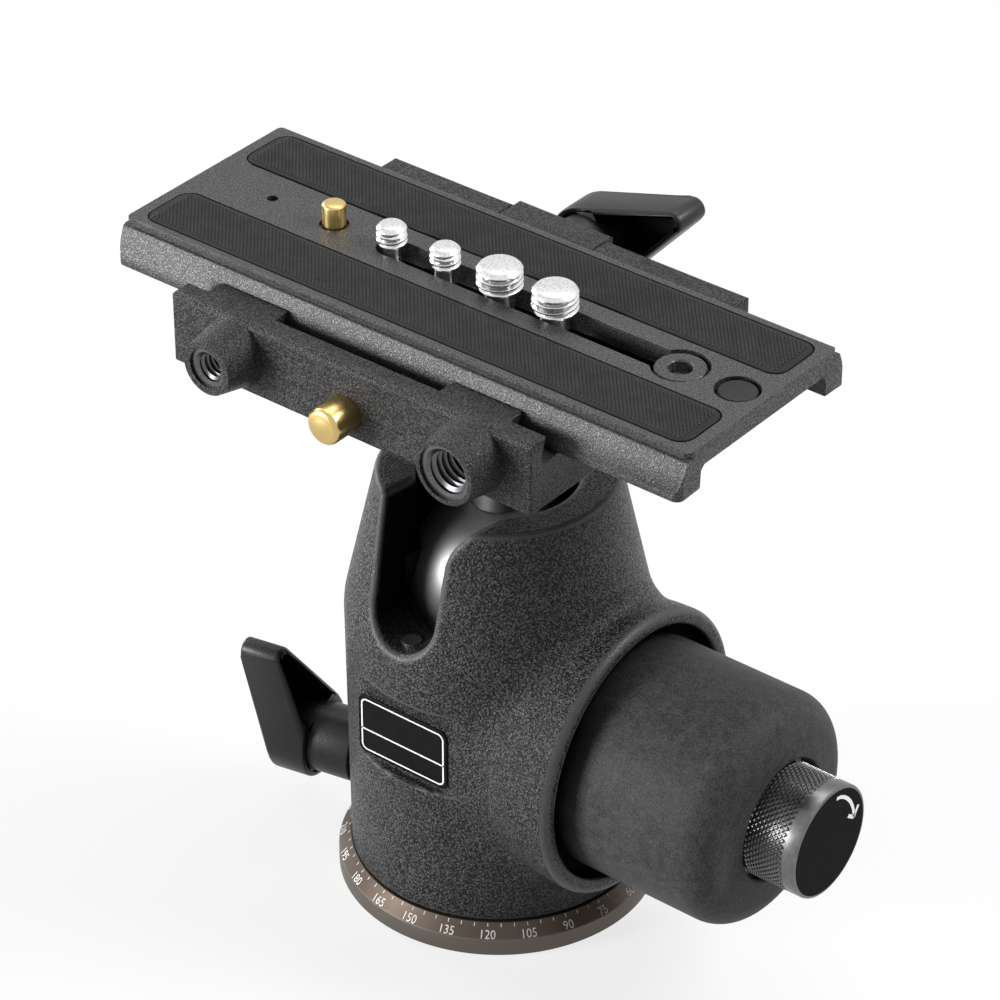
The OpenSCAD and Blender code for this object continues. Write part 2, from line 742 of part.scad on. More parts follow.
module adapter_body() {
    grip_inset = 5.2;
    grip_end = 9;
    grip_a = [adapter_x0 + grip_inset, -32.4];
    grip_b = [9.5, adapter_x1 - grip_end];
    jaw_half = jaw_len / 2 + loose;
    foot_y = plate_rail_half + loose;
    pocket_rise = 2.5;
    pocket_over = 0.5;
    pocket_x = [adapter_x0 - pocket_over, jaw_x - jaw_half + pocket_over - pocket_len,
        jaw_x + jaw_half - pocket_over, rail_x1 + pocket_over - pocket_len];
    color([0.13, 0.13, 0.14])
    difference() {
        union() {
            translate([adapter_x0, -foot_y, adapter_z])
                cube([adapter_x1 - adapter_x0, 2 * foot_y, bed_z - adapter_z]);
            translate([adapter_x0, 0, adapter_z]) cube([rail_x1 - adapter_x0, foot_y, bed_z - adapter_z]);
            mirror([0, 1, 0]) {
                rail(adapter_x0, adapter_x1, adapter_half, ledge_cut);
                rail(grip_a[0], grip_a[1], adapter_half);
                rail(grip_b[0], grip_b[1], adapter_half);
            }
            rail(adapter_x0, rail_x1, adapter_half);
            side_boss(small_boss_x, small_thread_r + insert_wall + 1.5, small_thread_r + insert_wall + 3.4);
            side_boss(large_boss_x, large_thread_r + insert_wall + 0.9, large_thread_r + insert_wall + 2.3);
        }
        translate([jaw_x - jaw_half, jaw_y0 - loose, adapter_z - 1])
            cube([2 * jaw_half, jaw_depth + 2, ledge_z]);
        for (x = pocket_x)
            translate([x, ledge_y - 1, bed_z + pocket_rise]) cube([pocket_len, pocket_w + 1, ledge_z]);
        insert_bore(small_boss_x, small_thread_r);
        insert_bore(large_boss_x, large_thread_r);
        translate([0, 0, adapter_z - 1]) cylinder(r = stud_r + run, h = bed_z);
        translate([0, 0, bed_z - 1 - stud_head_t - loose]) cylinder(r = stud_head_r + loose, h = 10);
        along_y(button_x, -adapter_half - 1, pin_row_z) {
            cylinder(r = button_r + run, h = button_pocket + 1);
            cylinder(r = button_rod_r + run, h = button_pocket + button_travel + 4);
        }
        along_y(jaw_x, jaw_y0 - clamp_reach - clamp_room, pin_row_z)
            cylinder(r = clamp_screw_r + run, h = clamp_reach + clamp_room + jaw_depth);
        for (s = [-1, 1])
            along_y(jaw_x + s * guide_pitch / 2, jaw_y0 - guide_reach - guide_hold, pin_row_z)
                cylinder(r = guide_r + run, h = guide_reach + guide_hold + jaw_depth);
    }
}

module side_insert_small() { side_insert(small_boss_x, small_thread_r); }

module side_insert_large() { side_insert(large_boss_x, large_thread_r); }

module safety_button() {
    dome = 1.2;
    rest = adapter_half + button_out;
    color([0.8, 0.62, 0.25])
    along_y(button_x, -rest, pin_row_z) {
        rotate_extrude() polygon(concat(
            [[0, 0]], [[button_r - dome, 0]],
            arc(button_r - dome, dome, dome, -90, 0),
            [[button_r, button_out + 2], [0, button_out + 2]]));
        translate([0, 0, button_out + 1]) cylinder(r = button_rod_r, h = button_pocket);
    }
}

module button_spring() {
    color("silver")
    along_y(button_x, -adapter_half + 2 + loose, pin_row_z)
        coil_spring((button_r + button_rod_r) / 2, spring_wire, button_pocket - 2 - 2 * loose, 6);
}

// Clamp group
module clamp_jaw() {
    color([0.13, 0.13, 0.14])
    difference() {
        union() {
            rail(jaw_x - jaw_len / 2, jaw_x + jaw_len / 2, adapter_half + jaw_out, 0, jaw_y0);
        }
        along_y(jaw_x, 0, pin_row_z) cylinder(r = clamp_screw_r + run, h = adapter_half + 5);
        for (s = [-1, 1])
            along_y(jaw_x + s * guide_pitch / 2, jaw_y0 - 1, pin_row_z)
                cylinder(r = guide_r, h = guide_hold + 1.1);
    }
}

module jaw_guides() {
    color("silver")
    for (s = [-1, 1])
        along_y(jaw_x + s * guide_pitch / 2, jaw_y0 - guide_reach, pin_row_z)
            cylinder(r = guide_r - seat, h = guide_reach + guide_hold);
}

module clamp_lever() {
    color([0.12, 0.12, 0.13])
    along_y(jaw_x, clamp_hub_y, pin_row_z) rotate([0, 0, -clamp_wing_turn - 90])
        wing_lever(clamp_wing_len, clamp_wing_lean, clamp_hub_len, clamp_screw_r);
}

module clamp_screw() {
    color("silver")
    along_y(jaw_x, jaw_y0 - clamp_reach, pin_row_z)
        cylinder(r = clamp_screw_r,
            h = clamp_reach - jaw_y0 + clamp_hub_y + clamp_hub_len + wing_depth - wing_wall - loose);
}

// Plate group
module plate_section() {
    h = plate_h;
    channel = plate_rail_half - 7;
    half = [[plate_top_half - 0.4, h], [plate_top_half, h - 0.4], [plate_top_half, h - lip_h],
        [plate_top_half + lip_step, h - lip_h], [plate_rail_half, rail_foot_h], [plate_rail_half, 0],
        [channel, 0], [channel, h - plate_web - 1], [channel - 1, h - plate_web]];
    n = len(half);
    polygon(concat(half, [for (i = [n - 1 : -1 : 0]) [-half[i][0], half[i][1]]]));
}

module plate() {
    length = plate_x1 - plate_x0;
    middle = (plate_x0 + plate_x1) / 2;
    color([0.2, 0.2, 0.21])
    difference() {
        union() {
            intersection() {
                translate([plate_x0 - 1, 0, plate_bottom]) rotate([90, 0, 90])
                    linear_extrude(length + 2) plate_section();
                translate([middle, 0, plate_bottom - 1]) {
                    linear_extrude(plate_h - lip_h + 1.2)
                        rounded_rect(length, 2 * plate_rail_half, plate_corner);
                    linear_extrude(plate_h + 2) rounded_rect(length, 2 * plate_top_half, plate_corner);
                }
            }
            translate([video_pin_x, 0, plate_bottom + 0.4])
                cylinder(r = pin_boss_r, h = plate_h - plate_web);
        }
        for (s = [-1, 1])
            translate([middle, s * strip_y, plate_z - strip_depth])
                linear_extrude(5)
                    rounded_rect(strip_len + 2 * strip_gap, strip_w + 2 * strip_gap, 3 + strip_gap);
        translate([slot_x0, -slot_w / 2, plate_bottom]) cube([end_disc_x - slot_x0, slot_w, plate_h + 1]);
        translate([slot_x0, 0, plate_bottom]) cylinder(r = slot_w / 2, h = plate_h + 1);
        translate([end_disc_x, 0, plate_z - disc_t - disc_sink]) cylinder(r = disc_r + disc_gap, h = 10);
        translate([end_plug_x, 0, plate_z - disc_t - disc_sink]) cylinder(r = plug_r + plug_gap, h = 10);
        translate([plate_x0 + small_hole_in, 0, plate_bottom]) cylinder(r = 1.2, h = plate_h + 1);
        translate([video_pin_x, 0, plate_bottom]) cylinder(r = video_pin_r + run, h = plate_h + 1);
        translate([video_pin_x, 0, plate_z - pin_rim_h]) cylinder(r = video_pin_r + pin_rim, h = 5);
        translate([video_pin_x, 0, plate_bottom - 1])
            cylinder(r = pin_flange_r + run, h = plate_h - pin_guide_t + 1);
    }
}

module grip_strip(side) {
    color([0.1, 0.1, 0.11])
    translate([(plate_x0 + plate_x1) / 2, side * strip_y, plate_z - strip_depth])
        linear_extrude(strip_depth + strip_out) rounded_rect(strip_len, strip_w, 3);
}

module grip_strip_front() { grip_strip(-1); }

module grip_strip_rear() { grip_strip(1); }

module slot_end_disc() {
    color([0.15, 0.15, 0.16])
    translate([end_disc_x, 0, plate_z - disc_t - disc_sink]) ring(disc_r, disc_hole_r, disc_t);
}

module end_plug() {
    color([0.13, 0.13, 0.14])
    translate([end_plug_x, 0, plate_z - disc_t - disc_sink]) cylinder(r = plug_r, h = disc_t);
}

module pin_cap() {
    color("gray")
    translate([video_pin_x, 0, plate_bottom + 0.4]) cylinder(r = pin_flange_r, h = pin_cap_t);
}

module video_pin() {
    top = plate_z + video_pin_out;
    flange_z = plate_z - pin_guide_t - pin_flange_t - seat;
    color([0.8, 0.62, 0.25])
    translate([video_pin_x, 0, 0]) difference() {
        union() {
            translate([0, 0, flange_z]) cylinder(r = video_pin_r, h = top - flange_z - 0.5);
            translate([0, 0, top - 0.5]) cylinder(r1 = video_pin_r, r2 = video_pin_r - 0.5, h = 0.5);
            translate([0, 0, flange_z]) cylinder(r = pin_flange_r, h = pin_flange_t);
        }
        translate([0, 0, flange_z - 1]) cylinder(r = video_pin_r - 0.7, h = top - flange_z - 1);
    }
}

module pin_spring() {
    z0 = plate_bottom + 0.4 + pin_cap_t + seat;
    color("silver")
    translate([video_pin_x, 0, z0])
        coil_spring(video_pin_r - 1.2, 0.25, plate_z + video_pin_out - 2.4 - z0, 9);
}

// A camera screw: head under the plate, plain shank through the slot, thread above
module camera_screw(place, thread_r, shank_r, top) {
    head_z = plate_bottom + 0.6;
    thread_z = plate_z + 0.9;
    color("gainsboro")
    translate([screw_x + place * screw_step, 0, 0]) {
        translate([0, 0, head_z]) cylinder(r = head_r, h = head_t);
        translate([0, 0, head_z]) cylinder(r = shank_r, h = thread_z - head_z + 0.5);
        translate([0, 0, thread_z]) cylinder(r1 = thread_r - 0.5, r2 = thread_r, h = 0.5);
        translate([0, 0, thread_z + 0.5]) cylinder(r = thread_r, h = plate_z + top - thread_z - 1.2);
        translate([0, 0, plate_z + top - 0.7]) cylinder(r1 = thread_r, r2 = thread_r - 0.7, h = 0.7);
    }
}

module small_screw_1() { camera_screw(0, small_screw_r, small_shank_r, small_top); }

module small_screw_2() { camera_screw(1, small_screw_r, small_shank_r, small_top); }

module large_screw_1() { camera_screw(2, large_screw_r, large_shank_r, large_top); }

module large_screw_2() { camera_screw(3, large_screw_r, large_shank_r, large_top); }

base_disc();
thread_insert();
pan_spindle();
retaining_ring();
housing();
thrust_washer();
pan_bearing();
pan_lock_bush();
cylinder_plug();
ball_seat();
notch_stop();
lock_bush();
pan_lever();
pan_screw();
brake_pad();
ball_cup();
cup_seal();
master_piston();
master_seal();
lock_shaft();
knob_core();
knob_rubber();
friction_dial();
friction_cap();
friction_rod();
ball();
stem();
stem_flange();
stem_stud();
adapter_body();
side_insert_small();
side_insert_large();
safety_button();
button_spring();
clamp_jaw();
jaw_guides();
clamp_lever();
clamp_screw();
plate();
grip_strip_front();
grip_strip_rear();
slot_end_disc();
end_plug();
pin_cap();
video_pin();
pin_spring();
small_screw_1();
small_screw_2();
large_screw_1();
large_screw_2();
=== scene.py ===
import math

import bmesh
import bpy
import numpy as np
from mathutils import Matrix, Vector


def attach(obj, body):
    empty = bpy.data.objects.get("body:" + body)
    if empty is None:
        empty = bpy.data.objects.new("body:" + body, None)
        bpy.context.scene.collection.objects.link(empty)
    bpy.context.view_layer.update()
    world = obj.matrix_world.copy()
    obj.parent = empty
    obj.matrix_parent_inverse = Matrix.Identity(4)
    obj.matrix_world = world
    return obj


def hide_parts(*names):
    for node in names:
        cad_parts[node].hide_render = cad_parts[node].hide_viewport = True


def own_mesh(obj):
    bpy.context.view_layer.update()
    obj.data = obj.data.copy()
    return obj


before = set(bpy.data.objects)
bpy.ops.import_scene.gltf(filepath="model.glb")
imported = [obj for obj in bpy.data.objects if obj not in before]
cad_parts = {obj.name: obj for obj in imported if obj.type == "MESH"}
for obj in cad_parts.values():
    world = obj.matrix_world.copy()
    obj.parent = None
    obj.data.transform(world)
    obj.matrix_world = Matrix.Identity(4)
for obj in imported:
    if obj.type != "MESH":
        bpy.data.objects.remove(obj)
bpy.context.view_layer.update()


# Studio: a pale table under large soft boxes, and the camera at the photograph's angle.
# The room and the table show white to the camera and to gloss; the table keeps a soft shadow.
class Wire:
    """A socket in a node tree. Sums on it add Math nodes, and node() adds any other node."""

    def __init__(self, tree, socket=None):
        self.tree, self.socket = tree, socket

    def node(self, kind, settings=None, out=0, **sockets):
        made = self.tree.nodes.new(kind)
        for name, value in (settings or {}).items():
            setattr(made, name, value)
        for name, value in sockets.items():
            place = int(name[1:]) if name[1:].isdigit() else name.replace("_", " ")
            if isinstance(value, Wire):
                self.tree.links.new(value.socket, made.inputs[place])
            else:
                made.inputs[place].default_value = value
        return Wire(self.tree, made.outputs[out] if made.outputs else None)

    def sum(self, operation, a, b):
        return self.node("ShaderNodeMath", {"operation": operation}, s0=a, s1=b)

    def __add__(self, other):
        return self.sum("ADD", self, other)

    def __radd__(self, other):
        return self.sum("ADD", other, self)

    def __sub__(self, other):
        return self.sum("SUBTRACT", self, other)

    def __rsub__(self, other):
        return self.sum("SUBTRACT", other, self)

    def __mul__(self, other):
        return self.sum("MULTIPLY", self, other)

    def __rmul__(self, other):
        return self.sum("MULTIPLY", other, self)

    def __pow__(self, other):
        return self.sum("POWER", self, other)


MM = 0.001
WHITE = (1, 1, 1, 1)
CAMERA_GLOSS_AND_GLASS = (0, 3, 6)
ROOM_LIGHT = 0.05
TABLE_GREY, TABLE_GLOW = 0.75, 0.78
scene = bpy.context.scene
scene.view_settings.view_transform = "Standard"


def shown_white(tree):
    """1 on the rays that show the surroundings, 0 on those that only carry light to the object."""
    seen = sum(Wire(tree).node("ShaderNodeLightPath", out=k) for k in CAMERA_GLOSS_AND_GLASS)
    return seen.sum("MINIMUM", seen, 1.0)


room = bpy.data.worlds.new("room")
room.use_nodes = True
room.node_tree.nodes.clear()
scene.world = room
shown = shown_white(room.node_tree)
sky = shown.node("ShaderNodeBackground", Color=WHITE, Strength=ROOM_LIGHT + (1 - ROOM_LIGHT) * shown)
sky.node("ShaderNodeOutputWorld", Surface=sky)

table_paint = bpy.data.materials.new("table_paint")
table_paint.use_nodes = True
table_paint.node_tree.nodes.clear()
shown = shown_white(table_paint.node_tree)
matte = shown.node("ShaderNodeBsdfDiffuse", Color=(TABLE_GREY, TABLE_GREY, TABLE_GREY, 1))
glow = shown.node("ShaderNodeEmission", Color=WHITE, Strength=1.0)
veil = shown.node("ShaderNodeMixShader", Fac=TABLE_GLOW * shown, s1=matte, s2=glow)
veil.node("ShaderNodeOutputMaterial", Surface=veil)
table_half, table_z = 6.0, -0.00005
table_mesh = bpy.data.meshes.new("table")
table_corners = [(x * table_half, y * table_half, table_z) for x, y in ((-1, -1), (1, -1), (1, 1), (-1, 1))]
table_mesh.from_pydata(table_corners, [], [(0, 1, 2, 3)])
table_mesh.materials.append(table_paint)
table = bpy.data.objects.new("table", table_mesh)
scene.collection.objects.link(table)


def soft_box(name, at, aim, size, watts):
    lamp = bpy.data.lights.new(name, "AREA")
    lamp.shape, lamp.size, lamp.size_y, lamp.energy = "RECTANGLE", size[0], size[1], watts
    box = bpy.data.objects.new(name, lamp)
    box.location = at
    box.rotation_euler = (Vector(aim) - Vector(at)).to_track_quat("-Z", "Y").to_euler()
    scene.collection.objects.link(box)


middle = (-0.01, 0.0, 0.08)
soft_box("soft_box_key", (-0.54, -0.75, 0.27), middle, (0.34, 0.36), 13.0)
soft_box("soft_box_left", (-0.88, 0.10, 0.40), middle, (0.24, 0.5), 4.5)
soft_box("soft_box_right", (0.60, 0.42, 0.78), middle, (0.30, 0.40), 10.0)
soft_box("soft_box_top", (-0.20, 0.35, 1.0), middle, (0.6, 0.5), 3.5)

lens = bpy.data.cameras.new("camera")
lens.lens, lens.sensor_width, lens.clip_start = 155.16, 36.0, 0.01
camera = bpy.data.objects.new("camera", lens)
camera.location = (0.4565, -0.5744, 0.5841)
look_at = Vector((-0.03167, 0.04034, 0.05798))
camera.rotation_euler = (look_at - camera.location).to_track_quat("-Z", "Y").to_euler()
scene.collection.objects.link(camera)
scene.camera = camera


# Base: a disc of brown anodised aluminium, turned in one clamping, that stands on the tripod.
# Its cone carries a degree scale, engraved and filled with cream paint.
WELD = 2e-6


def finish(name, **constants):
    """A new material, its shader and a wire on its Object coordinates."""
    made = bpy.data.materials.new(name)
    made.use_nodes = True
    shader = made.node_tree.nodes["Principled BSDF"]
    for socket, value in constants.items():
        shader.inputs[socket.replace("_", " ")].default_value = value
    return made, shader, Wire(made.node_tree).node("ShaderNodeTexCoord", out=3)


def feed(shader, **wires):
    for socket, wire in wires.items():
        wire.tree.links.new(wire.socket, shader.inputs[socket.replace("_", " ")])


def noise(where, size, detail=2.0, **sockets):
    """Noise whose lumps are about this many mm across."""
    return where.node("ShaderNodeTexNoise", Vector=where, Scale=1 / (size * MM), Detail=detail, **sockets)


def band(value, low, high):
    """0 below low, 1 above high."""
    return value.node("ShaderNodeMapRange", Value=value, From_Min=low, From_Max=high)


def tint(share, first, second):
    """From the first colour at 0 to the second at 1."""
    return share.node("ShaderNodeMix", {"data_type": "RGBA"}, 2, s0=share, s6=(*first, 1), s7=(*second, 1))


def relief(height, depth):
    """Bumps of this depth in mm."""
    return height.node("ShaderNodeBump", Strength=1.0, Distance=depth * MM, Height=height)


def lathe(profile, steps=128, closed=True):
    """Turns a profile of (radius, height) in mm, its outside going up, about Z: points and faces."""
    angle = np.arange(steps) * 2 * math.pi / steps
    points = [(r * math.cos(a), r * math.sin(a), h) for r, h in profile for a in angle]
    rows = len(profile) if closed else len(profile) - 1
    faces = []
    for j in range(rows):
        for k in range(steps):
            a, b = j * steps, (j + 1) % len(profile) * steps
            faces.append((a + k, a + (k + 1) % steps, b + (k + 1) % steps, b + k))
    return points, faces


def mesh_of(name, *parts, axis="Z", at=(0, 0, 0)):
    """One welded mesh from parts in mm whose own +Z lies along the axis through at."""
    points, faces = [], []
    for part_points, part_faces in parts:
        faces += [tuple(k + len(points) for k in face) for face in part_faces]
        for x, y, z in part_points:
            turned = {"Z": (x, y, z), "X": (z, x, y), "Y": (y, z, x), "-Y": (x, -z, y)}[axis]
            points.append([(c + o) * MM for c, o in zip(turned, at)])
    made = bpy.data.meshes.new(name)
    made.from_pydata(points, [], faces)
    work = bmesh.new()
    work.from_mesh(made)
    bmesh.ops.remove_doubles(work, verts=work.verts, dist=WELD)
    bmesh.ops.dissolve_degenerate(work, edges=work.edges, dist=1e-7)
    work.to_mesh(made)
    work.free()
    return made


def piece(name, mesh, body, slot, *nodes, paint=None, smooth=32):
    """A finished piece: linked, painted, smoothed, riding on its body in place of its CAD nodes."""
    made = bpy.data.objects.new(name, mesh)
    scene.collection.objects.link(made)
    if paint:
        mesh.materials.append(paint)
    mesh.shade_smooth()
    mesh.set_sharp_from_angle(angle=math.radians(smooth))
    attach(made, body)
    if nodes:
        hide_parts(*nodes)
    return made


def arc(cx, cy, r, a0, a1, n=6):
    turns = [math.radians(a0 + (a1 - a0) * i / n) for i in range(n + 1)]
    return [(cx + r * math.cos(a), cy + r * math.sin(a)) for a in turns]


base_r, base_wall, base_h, cone_r, base_bore = 34.5, 4.2, 7.0, 31.8, 9.98
anodised, shader, where = finish("anodised_brown", Metallic=0.85)
east, north, up = (where.node("ShaderNodeSeparateXYZ", None, k, Vector=where) for k in range(3))
radius = (east * east + north * north) ** 0.5
turned = where.node("ShaderNodeCombineXYZ", X=radius, Y=up, Z=0.0)
lines = noise(turned, 0.12, 1.0)
cloud = noise(where, 6.0)
on_cone = band(up, (base_wall + 0.05) * MM, (base_wall + 0.25) * MM)
brown = tint(on_cone, (0.115, 0.100, 0.087), (0.078, 0.060, 0.049))
feed(shader, Base_Color=brown, Roughness=0.33 + 0.14 * cloud + 0.1 * lines, Normal=relief(lines, 0.012))
grooves = [p for r in (26, 28, 30, 32) for p in ((r - 0.25, 0), (r, 0.2), (r + 0.25, 0))]
disc = lathe([(base_bore, 0), *grooves, (base_r - 0.4, 0), (base_r, 0.4), (base_r, base_wall - 0.12),
              (base_r - 0.04, base_wall), (base_r - 0.14, base_wall + 0.09), (cone_r + 0.06, base_h - 0.06),
              (cone_r - 0.06, base_h), (base_bore, base_h)], 192)
piece("base_ring", mesh_of("base_ring", disc), "base", "anodised_brown", "base_disc",
      paint=anodised, smooth=20)

scale_paint, shader, where = finish("scale_paint", Roughness=0.55)
feed(shader, Base_Color=tint(noise(where, 0.5), (0.62, 0.60, 0.55), (0.86, 0.84, 0.78)))
cone_run = math.hypot(base_r - cone_r, base_h - base_wall)
lean = ((cone_r - base_r) / cone_run, (base_h - base_wall) / cone_run)
SCALE_ZERO = 64.4
DEGREES_A_NUMBER, DEGREES_A_TICK = 15, 5
digit_size, digit_width, digit_foot = 2.75, 0.86, -1.62
paint_top, paint_root = 0.025, -0.05


def on_the_cone(x, y, out):
    """A place on the scale: x mm along the rim, y mm up the cone from its middle, out mm off it."""
    r = (base_r + cone_r) / 2 + y * lean[0] + out * lean[1]
    z = (base_wall + base_h) / 2 + y * lean[1] - out * lean[0]
    return x / ((base_r + cone_r) / 2), r, z


digits, digit_faces = [], []
for degree in range(0, 360, DEGREES_A_NUMBER):
    text = bpy.data.curves.new("degree", "FONT")
    text.body, text.size, text.align_x, text.resolution_u = str(degree), digit_size, "CENTER", 3
    sign = bpy.data.objects.new("degree", text)
    scene.collection.objects.link(sign)
    flat = bpy.data.meshes.new_from_object(sign.evaluated_get(bpy.context.evaluated_depsgraph_get()))
    first = len(digits)
    for v in flat.vertices:
        along, r, z = on_the_cone(v.co.x * digit_width, v.co.y + digit_foot, paint_top)
        a = math.radians(SCALE_ZERO - degree) + along
        digits.append((r * math.cos(a), r * math.sin(a), z))
    digit_faces += [tuple(first + k for k in face.vertices) for face in flat.polygons]
    bpy.data.objects.remove(sign)
    bpy.data.curves.remove(text)
    bpy.data.meshes.remove(flat)
piece("degree_numbers", mesh_of("degree_numbers", (digits, digit_faces)), "base", "anodised_brown",
      paint=scale_paint)


def repeat_tree():
    """Copies of a template in columns and rows: each column turns and moves, odd rows are staggered."""
    tree = bpy.data.node_groups.new("columns_and_rows", "GeometryNodeTree")
    tree.interface.new_socket("Geometry", in_out="OUTPUT", socket_type="NodeSocketGeometry")
    kinds = {"Template": "Object", "Columns": "Int", "Rows": "Int", "Column Turn": "Vector",
             "Column Move": "Vector", "Row Move": "Vector", "Stagger Turn": "Vector",
             "Stagger Move": "Vector", "Start": "Vector", "Finish": "Material"}
    for name, kind in kinds.items():
        tree.interface.new_socket(name, in_out="INPUT", socket_type="NodeSocket" + kind)
    source = tree.nodes.new("NodeGroupInput")
    given = {name: Wire(tree, source.outputs[name]) for name in kinds}
    start = given["Columns"]

    def scaled(vector, share):
        return start.node("ShaderNodeVectorMath", {"operation": "SCALE"}, s0=vector, s3=share)

    def joined(a, b):
        return start.node("ShaderNodeVectorMath", {"operation": "ADD"}, s0=a, s1=b)

    index = start.node("GeometryNodeInputIndex")
    column = index.sum("MODULO", index, given["Columns"])
    level = index.sum("DIVIDE", index + 0.01, given["Columns"])
    row = level.node("ShaderNodeMath", {"operation": "FLOOR"}, s0=level)
    odd = row.sum("MODULO", row, 2.0)
    move = joined(scaled(given["Column Move"], column), scaled(given["Row Move"], row))
    move = joined(joined(move, scaled(given["Stagger Move"], odd)), given["Start"])
    turn = joined(scaled(given["Column Turn"], column), scaled(given["Stagger Turn"], odd))
    spots = start.node("GeometryNodePoints", Count=given["Columns"] * given["Rows"], Position=move)
    shape = start.node("GeometryNodeObjectInfo", None, 4, Object=given["Template"])
    copies = start.node("GeometryNodeInstanceOnPoints", Points=spots, Instance=shape, Rotation=turn)
    real = start.node("GeometryNodeRealizeInstances", Geometry=copies)
    done = start.node("GeometryNodeSetMaterial", Geometry=real, Material=given["Finish"])
    sink = tree.nodes.new("NodeGroupOutput")
    tree.links.new(done.socket, sink.inputs["Geometry"])
    return tree


columns_and_rows = repeat_tree()


def repeated(name, template, paint, **inputs):
    """The template mesh, repeated by the tree, as one plain mesh."""
    pattern = bpy.data.objects.new(name + "_template", template)
    carrier = bpy.data.objects.new(name + "_carrier", bpy.data.meshes.new(name + "_carrier"))
    scene.collection.objects.link(carrier)
    grow = carrier.modifiers.new("repeat", "NODES")
    grow.node_group = columns_and_rows
    values = {"Template": pattern, "Finish": paint, **{k.replace("_", " "): v for k, v in inputs.items()}}
    for socket in columns_and_rows.interface.items_tree:
        if socket.in_out == "INPUT" and socket.name in values:
            grow[socket.identifier] = values[socket.name]
    carrier.update_tag()
    view = carrier.evaluated_get(bpy.context.evaluated_depsgraph_get())
    made = bpy.data.meshes.new_from_object(view)
    carrier.modifiers.remove(grow)
    bpy.data.objects.remove(carrier)
    bpy.data.objects.remove(pattern)
    made.name = name
    return made


def tick_template(half_width, low, high):
    corners = []
    for y, out in ((low, paint_root), (high, paint_root), (high, paint_top), (low, paint_top)):
        for x in (-half_width, half_width):
            along, r, z = on_the_cone(x, y, out)
            corners.append((r * math.cos(along), r * math.sin(along), z))
    walls = [(0, 1, 3, 2), (2, 3, 5, 4), (4, 5, 7, 6), (6, 7, 1, 0), (0, 2, 4, 6), (1, 7, 5, 3)]
    return mesh_of("tick", (corners, walls))


ticks = repeated("degree_ticks", tick_template(0.085, 0.95, 1.72), scale_paint,
                 Columns=360 // DEGREES_A_TICK, Rows=1, Column_Turn=(0, 0, math.radians(DEGREES_A_TICK)))
ticks.transform(Matrix.Rotation(math.radians(SCALE_ZERO), 4, "Z"))
piece("degree_ticks", ticks, "base", "anodised_brown")


# Tripod thread: a steel insert in the spindle, tapped 3/8 in with 16 turns to the inch.
# It is turned and pressed in from below; the spindle and its spring ring above it are turned steel.
def threaded(root, crest, pitch, low, high, steps=48, inward=False):
    """A tube wall with one ridge whose rows climb along the helix and fade out at both ends."""
    form = ((0.0, 0.0), (0.1, 0.0), (0.42, 1.0), (0.58, 1.0), (0.9, 0.0))
    rows = [(turn + at, lift) for turn in range(-1, int((high - low) / pitch) + 2) for at, lift in form]
    run_out = 1.6
    points, faces = [], []
    for at, lift in rows:
        for k in range(steps + 1):
            z = low + (at + k / steps) * pitch
            fade = min(1.0, max(0.0, (z - low) / pitch * run_out), max(0.0, (high - z) / pitch * run_out))
            r = root + (crest - root) * lift * fade
            a = 2 * math.pi * (k % steps) / steps
            points.append((r * math.cos(a), r * math.sin(a), min(max(z, low), high)))
    for j in range(len(rows) - 1):
        for k in range(steps):
            a, b = j * (steps + 1) + k, (j + 1) * (steps + 1) + k
            faces.append((a, b, b + 1, a + 1) if inward else (a, a + 1, b + 1, b))
    return points, faces


def plain_steel(name, colour, rough, scratch):
    """Turned steel: fine scratches of this length in mm, a little darker where they lie."""
    made, shader, where = finish(name, Metallic=1.0)
    marks = noise(where, scratch, 3.0, Roughness=0.7)
    cloud = noise(where, 7.0)
    feed(shader, Base_Color=tint(band(marks, 0.35, 0.6), tuple(0.72 * c for c in colour), colour),
         Roughness=rough - 0.08 + 0.16 * cloud, Normal=relief(marks, 0.006))
    return made


def dress(paint, *nodes):
    """Gives CAD nodes that keep their own shapes this finish."""
    for node in nodes:
        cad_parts[node].data.materials.clear()
        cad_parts[node].data.materials.append(paint)


THREE_EIGHTHS, QUARTER, PITCH_16, PITCH_20 = 4.7625, 3.175, 25.4 / 16, 25.4 / 20
turned_steel = plain_steel("turned_steel", (0.56, 0.56, 0.57), 0.32, 0.5)
bright_steel = plain_steel("bright_steel", (0.80, 0.80, 0.81), 0.22, 0.35)
insert_r, insert_h, insert_crest, insert_lead = 7.1625, 13.0, 3.95, 0.6
shell = lathe([(THREE_EIGHTHS, insert_lead), (THREE_EIGHTHS + 0.5, 0.1), (insert_r - 0.2, 0.0),
               (insert_r, 0.2), (insert_r, insert_h), (THREE_EIGHTHS, insert_h)], 48, closed=False)
tapped = threaded(THREE_EIGHTHS, insert_crest, PITCH_16, insert_lead, insert_h, inward=True)
piece("tripod_thread", mesh_of("tripod_thread", shell, tapped), "base", "steel", "thread_insert",
      paint=bright_steel)
dress(turned_steel, "pan_spindle", "retaining_ring")


# Housing: one aluminium casting with the neck, the drop notch and the flared boss of the lock knob.
# It is machined inside and baked with a coarse crinkle coat; its rounded edges are painted paler as a
# painted highlight, and its hollows near-black as painted shade.
def soft_min(a, b, k):
    share = np.clip(0.5 + 0.5 * (b - a) / k, 0, 1)
    return b + (a - b) * share - k * share * (1 - share)


def cut(solid, tool, k):
    """The solid less the tool, with edges rounded over about k mm."""
    return -soft_min(-solid, tool, k)


